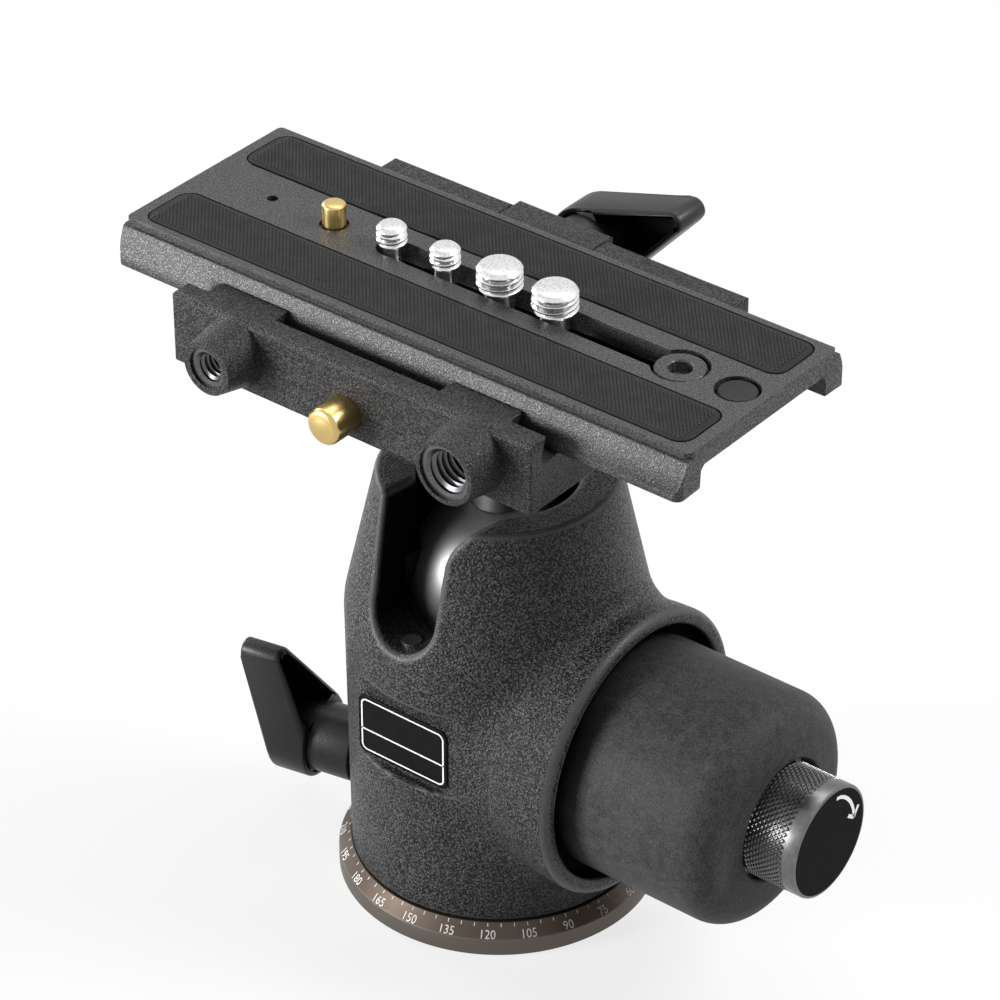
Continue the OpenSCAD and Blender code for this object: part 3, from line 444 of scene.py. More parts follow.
def outline_distance(outline, u, v):
    """Signed distance in mm to a closed outline in a plane, negative inside."""
    best = np.full(u.shape, 1e9)
    inside = np.zeros(u.shape, bool)
    for (ax, ay), (bx, by) in zip(outline, outline[1:] + outline[:1]):
        ex, ey = bx - ax, by - ay
        t = np.clip(((u - ax) * ex + (v - ay) * ey) / (ex * ex + ey * ey), 0, 1)
        best = np.minimum(best, (u - ax - t * ex) ** 2 + (v - ay - t * ey) ** 2)
        if ey:
            inside ^= ((ay > v) != (by > v)) & (u < ax + (v - ay) * ex / ey)
    return np.where(inside, -1, 1) * np.sqrt(best)


SOFT, FAR = 0.6, 60
KNOB_Z = 45.0
foot_z, shoulder_z = 7.3, 67.0
body_outline = ([(-FAR, foot_z + SOFT), (31.6 - SOFT, foot_z + SOFT), (32.2 - SOFT, shoulder_z)]
                + arc(12.2, shoulder_z, 20 - SOFT, 0, 13, 5)[1:]
                + arc(24.3, 99.3, 1.2 - SOFT, 13, 90, 4) + [(-FAR, 92.17 - SOFT)])
boss_x, boss_r, boss_lip, flare_len, flare_steps = 35.55, 31.9, 1.75, 26, 12
boss_flare = []
for step in range(flare_steps + 1):
    back = 1 - step / flare_steps
    boss_flare.append((boss_x - flare_len * back, boss_r - SOFT - 5.6 * back ** 2 - 0.4 * back))
boss_outline = ([(0, -FAR), (0, boss_flare[0][1])] + boss_flare
                + arc(boss_x, boss_r - boss_lip, boss_lip - SOFT, 90, 0, 5)[1:]
                + [(boss_x + boss_lip - SOFT, -FAR)])
cavity_outline = [(-FAR, -10), (21, -10), (21, 84), (17.5, 84), (16.8, 98.1), (16.8, 120), (-FAR, 120)]
notch_turn, notch_half, notch_z = math.radians(4), 8.2, 78.8
flat_half_x, flat_half_z, flat_z, flat_y = 21, 10, 49, 29.3
knob_bores = ((28.4, 33, 1.0), (10, 29.5, 0.3), (5.5, 18, 0.3))
pan_turn, pan_bore_r, pan_bore_x, pan_z = math.radians(191.3), 6, 19, 17.5


def housing_distance(x, y, z):
    """Signed distance in mm to the casting, roughly: exact on its faces, softened where they meet."""
    r, across = np.hypot(x, y), np.hypot(y, z - KNOB_Z)
    body = outline_distance(body_outline, r, z) - SOFT
    boss = outline_distance(boss_outline, x, across) - SOFT
    d = soft_min(body, boss, 1.5 + 3.5 * np.clip((34 - x) / 8, 0, 1))
    d = cut(d, outline_distance(cavity_outline, r, z), 1.4)
    side = x * math.cos(notch_turn) - y * math.sin(notch_turn)
    out = x * math.sin(notch_turn) + y * math.cos(notch_turn)
    left_spread, right_spread = 2.2 * np.clip((z - 80) / 20, 0, 1), 4 * np.clip((z - 92) / 8, 0, 1) ** 2
    wide = notch_half + np.where(side < 0, left_spread, right_spread)
    notch = np.where(z > notch_z, np.abs(side) - wide, np.hypot(side, z - notch_z) - notch_half)
    d = cut(d, np.maximum(notch, out), 1.5)
    flat = np.maximum(np.maximum(np.abs(x) - flat_half_x, np.abs(z - flat_z) - flat_half_z), y + flat_y)
    d = cut(d, flat, 0.3)
    for bore_r, bore_x, rounding in knob_bores:
        d = cut(d, np.maximum(across - bore_r, bore_x - x), rounding)
    along = x * math.cos(pan_turn) + y * math.sin(pan_turn)
    side = np.hypot(y * math.cos(pan_turn) - x * math.sin(pan_turn), z - pan_z)
    return cut(d, np.maximum(side - pan_bore_r, pan_bore_x - along), 0.3)


def skin(distance, low, high, step):
    """Quads over the surface where the distance is 0, from a grid with this step in mm."""
    axes = [np.arange(a, b + step, step) for a, b in zip(low, high)]
    value = distance(*np.meshgrid(*axes, indexing="ij"))
    size = np.array(value.shape)
    cells, hits, quads = np.zeros((*(size - 1), 3)), np.zeros(size - 1), []
    for axis in range(3):
        others = [i for i in range(3) if i != axis]
        near, far = np.take(value, range(size[axis] - 1), axis), np.take(value, range(1, size[axis]), axis)
        at = np.argwhere((near < 0) != (far < 0))
        at = at[np.all((at[:, others] > 0) & (at[:, others] < size[others] - 1), axis=1)]
        a, b = near[tuple(at.T)], far[tuple(at.T)]
        place = at.astype(float)
        place[:, axis] += a / (a - b)
        ring = []
        for back in ((0, 0), (1, 0), (1, 1), (0, 1)):
            cell = at.copy()
            cell[:, others] -= back
            np.add.at(cells, tuple(cell.T), place)
            np.add.at(hits, tuple(cell.T), 1)
            ring.append(np.ravel_multi_index(tuple(cell.T), tuple(size - 1)))
        ring = np.stack(ring, 1)
        turned = (a >= 0) ^ (axis == 1)
        ring[turned] = ring[turned][:, ::-1]
        quads.append(ring)
    used, quads = np.unique(np.concatenate(quads), return_inverse=True)
    points = (cells.reshape(-1, 3)[used] / hits.reshape(-1, 1)[used]) * step + np.array(low)
    for _ in range(4):
        nudge = 0.05 * np.eye(3)
        slope = np.stack([distance(*(points + e).T) - distance(*(points - e).T) for e in nudge], 1) / 0.1
        move = distance(*points.T) / np.maximum((slope ** 2).sum(1), 0.2)
        points = points - np.clip(move, -step / 2, step / 2)[:, None] * slope
    return points, quads.reshape(-1, 4)


EDGE_HIGHLIGHT_PAINT, PAINTED_SHADE_BLACK = (0.060, 0.060, 0.062, 1), (0.003, 0.003, 0.003, 1)


def crinkle_coat(name, grain, depth, coat, glint_paint, rough, gloss, painted_light=False):
    """Baked crinkle enamel: rounded grains of this size in mm, with a painted highlight on their tops."""
    made, shader, where = finish(name, Specular_IOR_Level=gloss)
    pebbles = where.node("ShaderNodeTexVoronoi", Vector=where, Scale=1 / (grain * MM))
    lumps = noise(where, grain * 0.9, 2.0)
    patches = noise(where, 14.0)
    height = 1.2 * lumps - 0.5 * pebbles
    proud = band(height, 0.26, 0.62)
    # Raised grains are painted paler and the hollows between them darker: a painted highlight and painted
    # shade on the grain.
    colour = tint(proud, coat, glint_paint)
    if painted_light:
        edge = where.node("ShaderNodeAttribute", {"attribute_name": "edge"}, 2)
        inside = where.node("ShaderNodeAttribute", {"attribute_name": "inside"}, 2)
        height = height * (1 - 0.7 * edge)
        # Painted highlight: the rounded edges are painted paler.
        paler_share = band(edge, 0.4, 1.0)
        colour = where.node("ShaderNodeMix", {"data_type": "RGBA"}, 2, s0=paler_share, s6=colour, s7=EDGE_HIGHLIGHT_PAINT)
        # Painted shade: the hollows take a near-black shader in place of the coat.
        painted_shade = where.node("ShaderNodeBsdfPrincipled", Base_Color=PAINTED_SHADE_BLACK, Roughness=0.8,
                          Specular_IOR_Level=0.02)
        enamel = Wire(made.node_tree, shader.outputs[0])
        coated = where.node("ShaderNodeMixShader", Fac=inside, s1=enamel, s2=painted_shade)
        made.node_tree.links.new(coated.socket, made.node_tree.nodes["Material Output"].inputs["Surface"])
    feed(shader, Base_Color=colour, Roughness=rough + 0.1 * patches + 0.22 * (1 - proud),
         Normal=relief(height, depth))
    return made


casting, casting_quads = skin(housing_distance, (-33.6, -33.6, 6.0), (38.6, 33.6, 102.0), 0.72)
x, y, z = casting.T
# The casting's rounded edges, found from how its surface bends, take a painted highlight in the coat.
EDGE_STEP = 0.7
nudges = [sign * nudge for sign in (-1, 1) for nudge in EDGE_STEP * np.eye(3)]
around = sum(housing_distance(*(casting + nudge).T) for nudge in nudges)
bend = (around - len(nudges) * housing_distance(x, y, z)) / EDGE_STEP ** 2
edge = np.clip((bend - 0.12) / 0.45, 0, 1)
# Painted shade: the mouth, the notch walls and the knob's recess are marked to take a near-black shader.
depth = SOFT - outline_distance(body_outline, np.hypot(x, y), z)
inside = np.clip((depth - 0.7) / 0.8, 0, 1) * np.clip((z - 70) / 5, 0.3, 1)
recess = (x > 32) & (x < 36.4) & (np.hypot(y, z - KNOB_Z) < 28.9)
inside = np.maximum(inside, recess)
housing_mesh = bpy.data.meshes.new("housing_casting")
housing_mesh.from_pydata((casting * MM).tolist(), [], casting_quads.tolist())
for name, value in (("edge", edge), ("inside", inside)):
    housing_mesh.attributes.new(name, "FLOAT", "POINT").data.foreach_set("value", value.astype(np.float32))
housing_coat = crinkle_coat("housing_coat", 0.46, 0.27, (0.001, 0.001, 0.001), (0.095, 0.095, 0.097),
                            0.19, 0.2, painted_light=True)
piece("housing_casting", housing_mesh, "housing", "coat_black", "housing", paint=housing_coat, smooth=60)


# Label: a thin black anodised plate, glued to the flat that is milled on the front of the casting.
# A border and a divider are printed on it in white.
def rounded_loft(length, width, corner, rows, closed=False, n=5):
    """Rounded rectangles, one for each (inset, height), joined into a skin: points and faces in mm."""
    points, faces = [], []
    for inset, height in rows:
        r = max(corner - inset, 0.05)
        a, b = length / 2 - inset - r, width / 2 - inset - r
        for cx, cy, start in ((a, b, 0), (-a, b, 90), (-a, -b, 180), (a, -b, 270)):
            points += [(x, y, height) for x, y in arc(cx, cy, r, start, start + 90, n)]
    around = 4 * (n + 1)
    for j in range(len(rows) if closed else len(rows) - 1):
        for k in range(around):
            a, b = j * around, (j + 1) % len(rows) * around
            faces.append((a + k, a + (k + 1) % around, b + (k + 1) % around, b + k))
    if not closed:
        faces.append(tuple(range(around))[::-1])
        faces.append(tuple(range(len(points) - around, len(points))))
    return points, faces


label_w, label_h, label_at = 23.5, 14.6, (-1.8, 0, 47.1)
label_back, label_face, print_root, print_top = flat_y - 0.1, flat_y + 0.4, flat_y + 0.3, flat_y + 0.43
label_black, shader, where = finish("label_black", Specular_IOR_Level=0.05)
smudge = noise(where, 3.0, 3.0)
feed(shader, Base_Color=tint(smudge, (0.003, 0.003, 0.003), (0.008, 0.008, 0.008)),
     Roughness=0.24 + 0.2 * smudge)
label = rounded_loft(label_w, label_h, 1.8, [(0.0, label_back), (0.0, print_root), (0.12, label_face)])
piece("label_plate", mesh_of("label_plate", label, axis="-Y", at=label_at), "housing", "coat_black",
      paint=label_black)
label_white, shader, where = finish("label_white", Roughness=0.5)
feed(shader, Base_Color=tint(noise(where, 0.4), (0.68, 0.68, 0.68), (0.86, 0.86, 0.86)))
line, margin, divider_y = 0.36, 1.5, -1.25
border = rounded_loft(label_w - margin, label_h - margin, 1.5,
                      [(0, print_root), (0, print_top), (line, print_top), (line, print_root)], closed=True)
divider = rounded_loft(label_w - margin, line, 0.06, [(0, print_root), (0, print_top)], n=1)
divider = ([(x, y + divider_y, z) for x, y, z in divider[0]], divider[1])
piece("label_lines", mesh_of("label_lines", border, divider, axis="-Y", at=label_at),
      "housing", "coat_black", paint=label_white)


# Inside the housing: bearing, washer, bushes, hydraulic cup and plug, and the stop pin of the notch.
# They are turned from brass, plastic, steel and bare aluminium, and keep their CAD shapes.
def turned_metal(name, colour, rough):
    made, shader, where = finish(name, Metallic=1.0)
    marks = noise(where, 0.3, 2.0)
    feed(shader, Base_Color=tint(marks, tuple(0.8 * c for c in colour), colour),
         Roughness=rough + 0.15 * noise(where, 5.0), Normal=relief(marks, 0.005))
    return made


brass = turned_metal("brass", (0.66, 0.48, 0.19), 0.22)
bare_aluminium = turned_metal("bare_aluminium", (0.62, 0.62, 0.63), 0.35)
seat_plastic, shader, where = finish("seat_plastic", Specular_IOR_Level=0.08)
feed(shader, Base_Color=tint(noise(where, 4.0), (0.004, 0.004, 0.004), (0.008, 0.008, 0.008)),
     Roughness=0.4 + 0.1 * noise(where, 1.0))
seal_rubber, shader, where = finish("seal_rubber", Specular_IOR_Level=0.25)
feed(shader, Base_Color=tint(noise(where, 2.0), (0.01, 0.01, 0.01), (0.022, 0.022, 0.022)),
     Roughness=0.6 + 0.2 * noise(where, 0.5))
dress(brass, "pan_bearing", "brake_pad")
dress(bare_aluminium, "cylinder_plug", "ball_cup", "master_piston", "knob_core")
dress(seat_plastic, "thrust_washer", "ball_seat")
dress(seal_rubber, "cup_seal", "master_seal")
dress(turned_steel, "pan_lock_bush", "notch_stop", "lock_bush", "pan_screw", "lock_shaft", "friction_rod",
      "stem_stud", "jaw_guides", "clamp_screw", "pin_cap")


# Pan lock lever: a hollow wing lever cast in zinc and lacquered black, low on the left of the housing.
# It is pressed onto the splined end of the pan lock screw.
def broken_edges(node, width=0.0, steps=2, least=35, short=1.2):
    """A welded copy of a CAD solid whose long sharp edges are rounded off by this width in mm."""
    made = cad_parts[node].data.copy()
    made.materials.clear()
    work = bmesh.new()
    work.from_mesh(made)
    bmesh.ops.remove_doubles(work, verts=work.verts, dist=WELD)
    if width:
        bmesh.ops.dissolve_limit(work, angle_limit=math.radians(1), verts=work.verts, edges=work.edges)
        sharp = [e for e in work.edges if len(e.link_faces) == 2 and e.is_convex
                 and e.calc_face_angle() > math.radians(least) and e.calc_length() > short * MM]
        bmesh.ops.bevel(work, geom=sharp, offset=width * MM, offset_type="OFFSET", segments=steps,
                        profile=0.5, affect="EDGES", clamp_overlap=False)
        bmesh.ops.remove_doubles(work, verts=work.verts, dist=WELD)
    work.to_mesh(made)
    work.free()
    for layer in [a.name for a in made.attributes if a.name == "custom_normal"]:
        made.attributes.remove(made.attributes[layer])
    return made


lacquer, shader, where = finish("lever_lacquer", Specular_IOR_Level=0.25, Coat_Weight=0.08,
                                Coat_Roughness=0.25)
orange_peel = noise(where, 0.5, 2.0)
feed(shader, Base_Color=tint(noise(where, 5.0), (0.006, 0.006, 0.007), (0.014, 0.014, 0.015)),
     Roughness=0.34 + 0.15 * orange_peel, Normal=relief(orange_peel, 0.05))
piece("pan_wing", broken_edges("pan_lever", 0.6, 3, 40, 0.3), "pan_lever", "coat_lever", "pan_lever",
      paint=lacquer)


# Lock knob: a bell of moulded rubber over an aluminium core, which turns the lock screw.
# Its end is rounded, with a hole for the friction dial; the mould leaves a fine matte grain.
rubber, shader, where = finish("knob_rubber", Specular_IOR_Level=0.12)
grain = noise(where, 0.35, 3.0)
bloom = noise(where, 2.2, 5.0, Roughness=0.7)
mottle = band(0.4 * bloom + 0.6 * grain, 0.28, 0.76)
# Painted shade: the rubber darkens towards its base, where it meets the boss.
painted_base_shade = band(where.node("ShaderNodeSeparateXYZ", Vector=where), 35.5 * MM, 43.0 * MM)
feed(shader, Base_Color=tint(mottle * painted_base_shade ** 0.6, (0.003, 0.003, 0.004), (0.085, 0.085, 0.088)),
     Roughness=0.48 + 0.2 * bloom, Normal=relief(grain, 0.05))
knob_r, knob_x0, round_x, round_r, knob_end, dial_hole = 25.6, 33.8, 65.5, 18.6, 73.4, 13.2
rubber_in_r, rubber_in_x, core_round = 22.97, 69.87, 4.37
knob_axis = (0, 0, KNOB_Z)
bell = ([(rubber_in_r, knob_x0), (knob_r - 0.6, knob_x0), (knob_r - 0.18, knob_x0 + 0.18),
         (knob_r, knob_x0 + 0.6)]
        + [(r, h) for h, r in arc(round_x, round_r, knob_r - round_r, 90, 0, 18)]
        + [(dial_hole + 1.0, knob_end - 0.05), (dial_hole + 0.5, knob_end - 0.1),
           (dial_hole + 0.1, knob_end - 0.45), (dial_hole, knob_end - 0.9), (dial_hole, rubber_in_x)]
        + [(r, h) for h, r in arc(round_x, round_r, core_round, 0, 90, 8)])
piece("lock_knob_bell", mesh_of("lock_knob_bell", lathe(bell, 160), axis="X", at=knob_axis),
      "lock_knob", "knob_rubber", "knob_rubber", paint=rubber)


# Friction dial: a small aluminium thumbwheel in the end of the knob, with a diamond knurl and a plain rim.
# A black plastic cap is snapped into its face and printed with a curved arrow.
def diamond_stud(name, half_x, half_y, foot, top, share):
    """A low pyramid on a diamond, cut off flat where it has this share of its foot: a template."""
    points = [(x * size, y * size, z) for size, z in ((1.0, foot), (share, top))
              for x, y in ((half_x, 0), (0, half_y), (-half_x, 0), (0, -half_y))]
    return mesh_of(name, (points, [(0, 1, 5, 4), (1, 2, 6, 5), (2, 3, 7, 6), (3, 0, 4, 7), (4, 5, 6, 7)]))


dial_r, core_r, dial_x0, dial_x1, knurl_x1 = 12.5, 12.02, 70.25, 84.9, 81.7
rod_r, rod_x, hub_r, hub_x, rim_r, cap_seat = 3.02, 74.25, 8, 61.35, 11.8, 0.8
dial_metal, shader, where = finish("dial_metal", Metallic=1.0)
paler_share = noise(where, 1.5, 3.0)
feed(shader, Base_Color=tint(paler_share, (0.11, 0.11, 0.113), (0.19, 0.19, 0.193)), Roughness=0.24 + 0.14 * paler_share)
wheel = lathe([(0, rod_x), (rod_r, rod_x), (rod_r, hub_x), (hub_r, hub_x), (hub_r, dial_x0),
               (core_r, dial_x0), (core_r, knurl_x1), (dial_r - 0.12, knurl_x1), (dial_r, knurl_x1 + 0.12),
               (dial_r, dial_x1 - 0.5), (dial_r - 0.15, dial_x1 - 0.15), (dial_r - 0.5, dial_x1),
               (rim_r, dial_x1), (rim_r, dial_x1 - cap_seat), (0, dial_x1 - cap_seat)], 160, closed=False)
piece("dial_wheel", mesh_of("dial_wheel", wheel, axis="X", at=knob_axis),
      "friction_knob", "dial_metal", "friction_dial", paint=dial_metal)
knurl_columns, knurl_rows, knurl_step = 58, 12, 0.74
half_wide = math.pi * core_r / knurl_columns
stud = diamond_stud("knurl_stud", knurl_step, half_wide, core_r - 0.12, dial_r, 0.34)
knurl_start = (knurl_x1 - knurl_step * (knurl_rows + 0.1)) * MM
knurl = repeated("dial_knurl", stud, dial_metal, Columns=knurl_columns, Rows=knurl_rows,
                 Column_Turn=(2 * math.pi / knurl_columns, 0, 0),
                 Stagger_Turn=(math.pi / knurl_columns, 0, 0),
                 Row_Move=(knurl_step * MM, 0, 0), Start=(knurl_start, 0, KNOB_Z * MM))
piece("dial_knurl", knurl, "friction_knob", "dial_metal", smooth=10)
cap_plastic, shader, where = finish("cap_plastic", Specular_IOR_Level=0.02)
feed(shader, Base_Color=tint(noise(where, 3.0), (0.004, 0.004, 0.005), (0.006, 0.006, 0.007)),
     Roughness=0.4 + 0.15 * noise(where, 0.8), Normal=relief(noise(where, 0.25), 0.01))
cap_r, cap_back, cap_face, arrow_x, arrow_half = 11.78, 84.1, 84.96, 85.0, 0.42
cap = lathe([(0, cap_back), (cap_r, cap_back), (cap_r, cap_face - 0.11), (cap_r - 0.12, cap_face),
             (0, cap_face)], 96, closed=False)
piece("dial_cap", mesh_of("dial_cap", cap, axis="X", at=knob_axis),
      "friction_knob", "cap_plastic", "friction_cap", paint=cap_plastic)
arrow_bow = [(1.7, 10.0), (3.0, 9.65), (4.3, 8.9), (5.6, 7.75),
             (6.8, 6.2), (7.7, 4.4), (8.2, 2.6), (8.3, 1.7)]
arrow_barbs = ([(9.75, 3.7), (9.0, 2.5), (8.3, 1.4)], [(8.3, 1.4), (7.3, 2.1), (6.2, 2.95)])
strokes = []
for path in (arrow_bow, *arrow_barbs):
    points = []
    for k, (x, y) in enumerate(path):
        (ax, ay), (bx, by) = path[max(k - 1, 0)], path[min(k + 1, len(path) - 1)]
        half = arrow_half / math.hypot(bx - ax, by - ay)
        points += [(x - s * half * (by - ay), y + s * half * (bx - ax), arrow_x) for s in (1, -1)]
    strokes.append((points, [(2 * k, 2 * k + 1, 2 * k + 3, 2 * k + 2) for k in range(len(path) - 1)]))
piece("dial_arrow", mesh_of("dial_arrow", *strokes, axis="X", at=knob_axis),
      "friction_knob", "cap_plastic", paint=label_white)


# Ball and stem: the ball is ground aluminium with a hard grey coat, held between cup and seat.
# The trumpet stem is turned to match and bolted up under the adapter by its stud.
hard_coat, shader, where = finish("ball_hard_coat", Metallic=0.75)
satin = noise(where, 0.4, 2.0)
feed(shader, Base_Color=tint(noise(where, 9.0, 3.0), (0.17, 0.17, 0.175), (0.22, 0.22, 0.225)),
     Roughness=0.36 + 0.12 * satin, Normal=relief(satin, 0.008))
BALL_Z, ball_r = 75.0, 18.6
sphere = lathe(arc(0, BALL_Z, ball_r, -90, 90, 56), 112, closed=False)
piece("ball_sphere", mesh_of("ball_sphere", sphere), "ball", "ball_metal", "ball", paint=hard_coat)
foot_r, stud_r, stem_r, flange_r, flange_top = 18.9, 3.02, 5.7, 17.0, 121.7
flare_z, flare_rise, flare_out = 108.7, 10.0, 10.3
foot = [(r, BALL_Z + math.sqrt(foot_r ** 2 - r * r)) for r in (stud_r, 4.2, 5.2, stem_r)]
waist = [(stem_r, 93.5), (5.62, 95.0), (5.6, 97.0), (5.6, 105.7), (5.64, 107.2)]
flare = [(stem_r + flare_out * t ** 3, flare_z + flare_rise * t) for t in np.linspace(0, 1, 13)]
flange = [(flange_r - 0.2, 119.1), (flange_r, 119.5), (flange_r, flange_top - 0.2),
          (flange_r - 0.2, flange_top), (stud_r, flange_top)]
stem = lathe(foot + waist + flare + flange, 112)
piece("trumpet_stem", mesh_of("trumpet_stem", stem), "stem", "ball_metal", "stem", "stem_flange",
      paint=hard_coat)


# Adapter: a cast aluminium bed with two dovetail rails, coated like the housing but with a finer grain.
# Two bosses on its front wall carry threaded steel inserts for accessories.
adapter_coat = crinkle_coat("adapter_coat", 0.37, 0.16, (0.002, 0.002, 0.002), (0.070, 0.070, 0.072),
                            0.22, 0.22)
piece("adapter_bed", broken_edges("adapter_body", 0.5, 3), "adapter", "coat_adapter", "adapter_body",
      paint=adapter_coat)
seam_root, seam_top, seam_w = 35.45, 35.57, 0.16
seams = []
for x0, x1, z in ((-31.0, -25.7, 130.5), (-24.7, -15.0, 128.5), (-5.0, 5.5, 127.9), (6.0, 10.5, 129.8)):
    points, faces = rounded_loft(x1 - x0, seam_w, 0.05, [(0, seam_root), (0.03, seam_top)], n=1)
    seams.append(([(x + (x0 + x1) / 2, y + z, out) for x, y, out in points], faces))
piece("adapter_seams", mesh_of("adapter_seams", *seams, axis="-Y"), "adapter", "coat_adapter",
      paint=adapter_coat)
black_steel = plain_steel("black_steel", (0.13, 0.13, 0.135), 0.34, 0.5)
sleeve_wall, sleeve_len, sleeve_lead, sleeve_y, sleeve_z = 1.18, 12.9, 0.3, -43.4, 130.4
for name, x, nominal, pitch, depth in (("side_insert_small", -39.0, QUARTER, PITCH_20, 0.62),
                                       ("side_insert_large", 21.5, THREE_EIGHTHS, PITCH_16, 0.8)):
    outer = nominal + sleeve_wall
    sleeve = lathe([(nominal, sleeve_lead), (nominal + sleeve_lead, 0.0), (outer, 0.0), (outer, sleeve_len),
                    (nominal, sleeve_len)], 48, closed=False)
    tapped = threaded(nominal, nominal - depth, pitch, sleeve_lead, sleeve_len, inward=True)
    sleeve_mesh = mesh_of(name + "_sleeve", sleeve, tapped, axis="Y", at=(x, sleeve_y, sleeve_z))
    piece(name + "_sleeve", sleeve_mesh, "adapter", "steel", name, paint=black_steel)


# Safety button: a turned brass plunger in the front wall, pushed out by a coil spring.
# Its end is domed and polished by use.
button_at, button_face, dome_r, dome_rise = (-10.3, 0, 127.25), -43.1, 2.6, 0.35
button_r, neck_r, collar_y, neck_end = 4.0, 2.5, -33.5, -22.5
button = ([(0, button_face)] + [(r, button_face + dome_rise * (r / dome_r) ** 2) for r in (0.9, 1.8, dome_r)]
          + arc(2.75, -41.5, 1.25, -80, 0, 6)
          + [(button_r, collar_y), (neck_r, collar_y), (neck_r, neck_end), (0, neck_end)])
button_mesh = mesh_of("button_plunger", lathe(button, 64, closed=False), axis="Y", at=button_at)
piece("button_plunger", button_mesh, "safety_button", "brass", "safety_button", paint=brass)


def return_spring(node, body):
    """A coil: a welded copy of the CAD spring that rides on its body, with a mesh of its own."""
    coil = piece(node + "_coil", broken_edges(node), body, "steel", node, paint=turned_steel)
    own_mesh(coil)


return_spring("button_spring", "adapter")


# Clamp: a sliding jaw in the rear rail, drawn in by a screw with a black wing lever.
# The jaw is milled and coated with the adapter, the lever is cast and lacquered like the pan lever.
piece("jaw_block", broken_edges("clamp_jaw", 0.5, 3), "clamp_jaw", "coat_adapter", "clamp_jaw",
      paint=adapter_coat)
piece("clamp_wing", broken_edges("clamp_lever", 0.6, 3, 40, 0.3), "clamp_lever", "coat_lever", "clamp_lever",
      paint=lacquer)


# Plate: an extruded aluminium dovetail, sawn and milled, with a fine hammered grey-black coat.
# Its edges are broken and catch a thin line of light; a washer and a plug close the end of its slot.
plate_coat = crinkle_coat("plate_coat", 0.34, 0.08, (0.004, 0.004, 0.005), (0.090, 0.090, 0.092),
                          0.22, 0.40)
piece("sliding_plate", broken_edges("plate", 0.3, 2, 40, 2.0), "plate", "coat_plate", "plate",
      paint=plate_coat)
inlay_low, inlay_top = 140.0, 142.0
end_disc = lathe([(2.45, inlay_low), (5.2, inlay_low), (5.2, inlay_top - 0.2), (5.0, inlay_top),
                  (2.75, inlay_top), (2.45, inlay_top - 0.3)], 64)
piece("slot_washer", mesh_of("slot_washer", end_disc, at=(44.9, 0, 0)), "plate", "coat_plate",
      "slot_end_disc", paint=plate_coat)
plug = lathe([(0, inlay_low), (4.0, inlay_low), (4.0, inlay_top - 0.3), (3.7, inlay_top),
              (3.0, inlay_top - 0.15), (0, inlay_top - 0.2)], 64, closed=False)
piece("plate_plug", mesh_of("plate_plug", plug, at=(58.5, 0, 0)), "plate", "grip_rubber", "end_plug",
      paint=seal_rubber)


# Grip strips: two moulded rubber pads glued into shallow pockets in the plate.
# Their tops carry a close woven pattern of small nubs in staggered rows.
strip_len, strip_w, strip_x, strip_y, strip_low, strip_top = 137.0, 13.6, -6.5, 15.3, 141.3, 142.7
grip_rubber, shader, where = finish("grip_rubber", Specular_IOR_Level=0.2)
feed(shader, Base_Color=tint(noise(where, 3.0, 3.0), (0.003, 0.003, 0.003), (0.009, 0.009, 0.009)),
     Roughness=0.5 + 0.2 * noise(where, 0.6))
# The nubs are the pad's own rubber painted paler: a painted highlight on their raised tops.
lit_nub_rubber, shader, where = finish("lit_nub_rubber", Specular_IOR_Level=0.12)
feed(shader, Base_Color=tint(noise(where, 3.0, 3.0), (0.020, 0.020, 0.021), (0.055, 0.055, 0.057)),
     Roughness=0.45 + 0.2 * noise(where, 0.6))
nub_x, nub_y, nub_half, nub_root, nub_rise = 0.95, 0.56, 0.5, -0.12, 0.2
nub = diamond_stud("grip_nub", nub_half, nub_half, nub_root, nub_rise, 0.5)
columns, rows = int((strip_len - 2.2) / nub_x), int((strip_w - 1.6) / nub_y)
weave_x, weave_z = strip_x - (columns - 0.5) * nub_x / 2, strip_top - nub_rise
for name, side in (("front", -1), ("rear", 1)):
    pad = rounded_loft(strip_len, strip_w, 3.0, [(0, strip_low), (0, strip_top - 0.42),
                                                 (0.12, strip_top - 0.27), (0.35, weave_z)])
    pad_mesh = mesh_of(f"grip_pad_{name}", pad, at=(strip_x, side * strip_y, 0))
    piece(f"grip_pad_{name}", pad_mesh, "plate", "grip_rubber", f"grip_strip_{name}", paint=grip_rubber)
    weave_y = side * strip_y - (rows - 1) * nub_y / 2
    weave = repeated(f"grip_weave_{name}", nub, lit_nub_rubber, Columns=columns, Rows=rows,
                     Column_Move=(nub_x * MM, 0, 0), Row_Move=(0, nub_y * MM, 0),
                     Stagger_Move=(nub_x / 2 * MM, 0, 0), Start=(weave_x * MM, weave_y * MM, weave_z * MM))
    piece(f"grip_weave_{name}", weave, "plate", "grip_rubber", smooth=10)


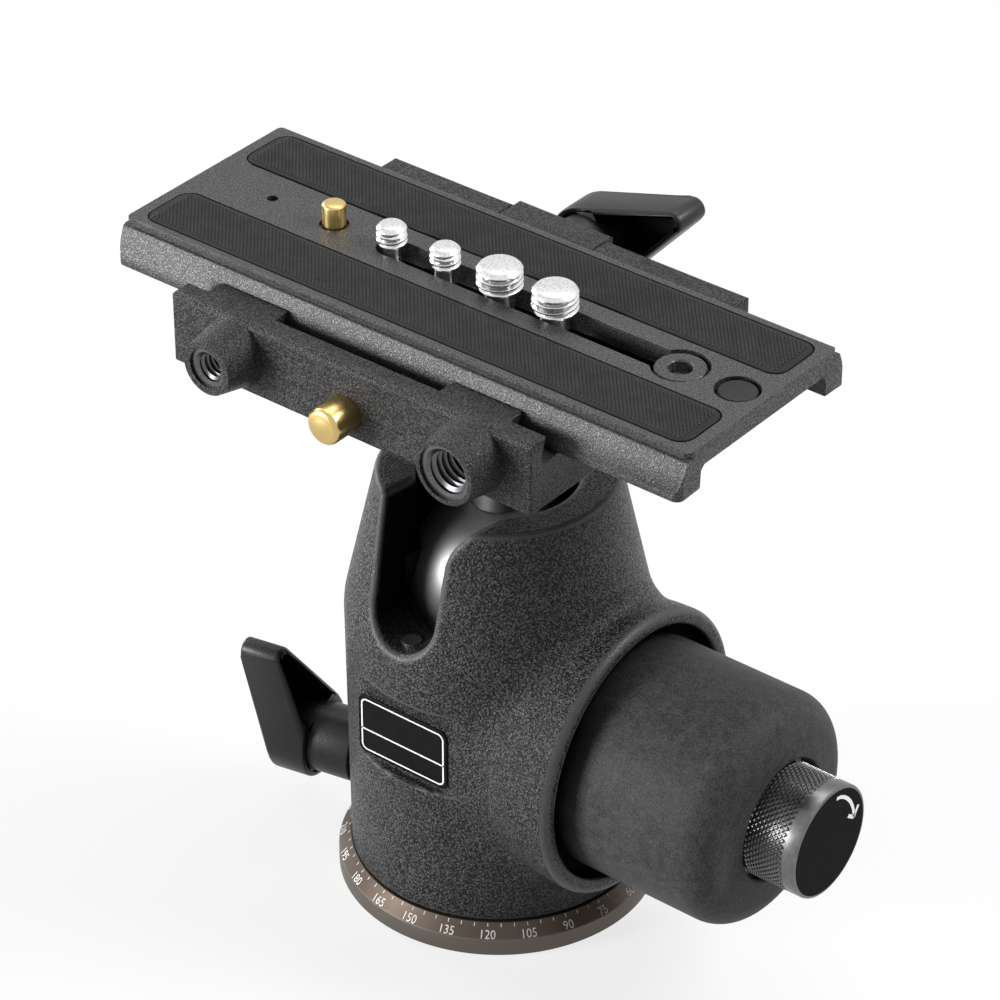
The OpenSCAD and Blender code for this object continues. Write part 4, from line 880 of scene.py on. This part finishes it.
# Camera screws: two 1/4 in and two 3/8 in steel screws that slide in the plate's slot.
# They are turned bright, with a wide head below, a thin shank and a few turns of thread above.
head_r, head_low, head_top, thread_low, thread_end = 6.65, 133.4, 137.3, 143.2, 1.15
small_size = (QUARTER, 0.55, 1.15, 2.2, 147.8)
large_size = (THREE_EIGHTHS, 0.7, 1.3, 3.0, 148.6)
for name, x, size in (("small_screw_1", -27.5, small_size), ("small_screw_2", -13.6, small_size),
                      ("large_screw_1", 0.3, large_size), ("large_screw_2", 14.2, large_size)):
    nominal, depth, pitch, shank, top = size
    root, high = nominal - depth, top - thread_end
    below = lathe([(0, head_low + 0.5), (1.6, head_low + 0.5), (1.8, head_low), (head_r - 0.3, head_low),
                   (head_r, head_low + 0.3), (head_r, head_top - 0.3), (head_r - 0.3, head_top),
                   (shank, head_top), (shank, thread_low - 0.1), (root - 0.1, thread_low - 0.1),
                   (root, thread_low)], 48, closed=False)
    above = lathe([(root, high), (nominal - 0.12, high + 0.1), (nominal, high + 0.3),
                   (nominal - 0.1, high + 0.5), (nominal - 0.75, top - 0.06), (nominal - 0.95, top),
                   (0, top)], 48, closed=False)
    ridge = threaded(root, nominal, pitch, thread_low, high)
    screw_mesh = mesh_of(name + "_turned", below, ridge, above, at=(x, 0, 0))
    piece(name + "_turned", screw_mesh, name, "screw_steel", name, paint=bright_steel)


# Video pin: a sprung brass peg that drops flush when a camera without a pin hole is fitted.
# It is turned, chamfered at the top and guided in the plate.
pin_x, pin_r, pin_top, hollow_r, hollow_top, collar_r = -42.7, 2.5, 147.3, 1.8, 146.3, 3.3
collar_low, collar_top = 139.08, 140.28
pin = lathe([(0, hollow_top), (hollow_r, hollow_top), (hollow_r, collar_low), (collar_r, collar_low),
             (collar_r, collar_top), (pin_r, collar_top), (pin_r, pin_top - 0.55),
             (pin_r - 0.08, pin_top - 0.35), (pin_r - 0.5, pin_top - 0.05), (pin_r - 0.65, pin_top),
             (0, pin_top)], 64, closed=False)
piece("video_peg", mesh_of("video_peg", pin, at=(pin_x, 0, 0)), "video_pin", "brass", "video_pin",
      paint=brass)
return_spring("pin_spring", "plate")
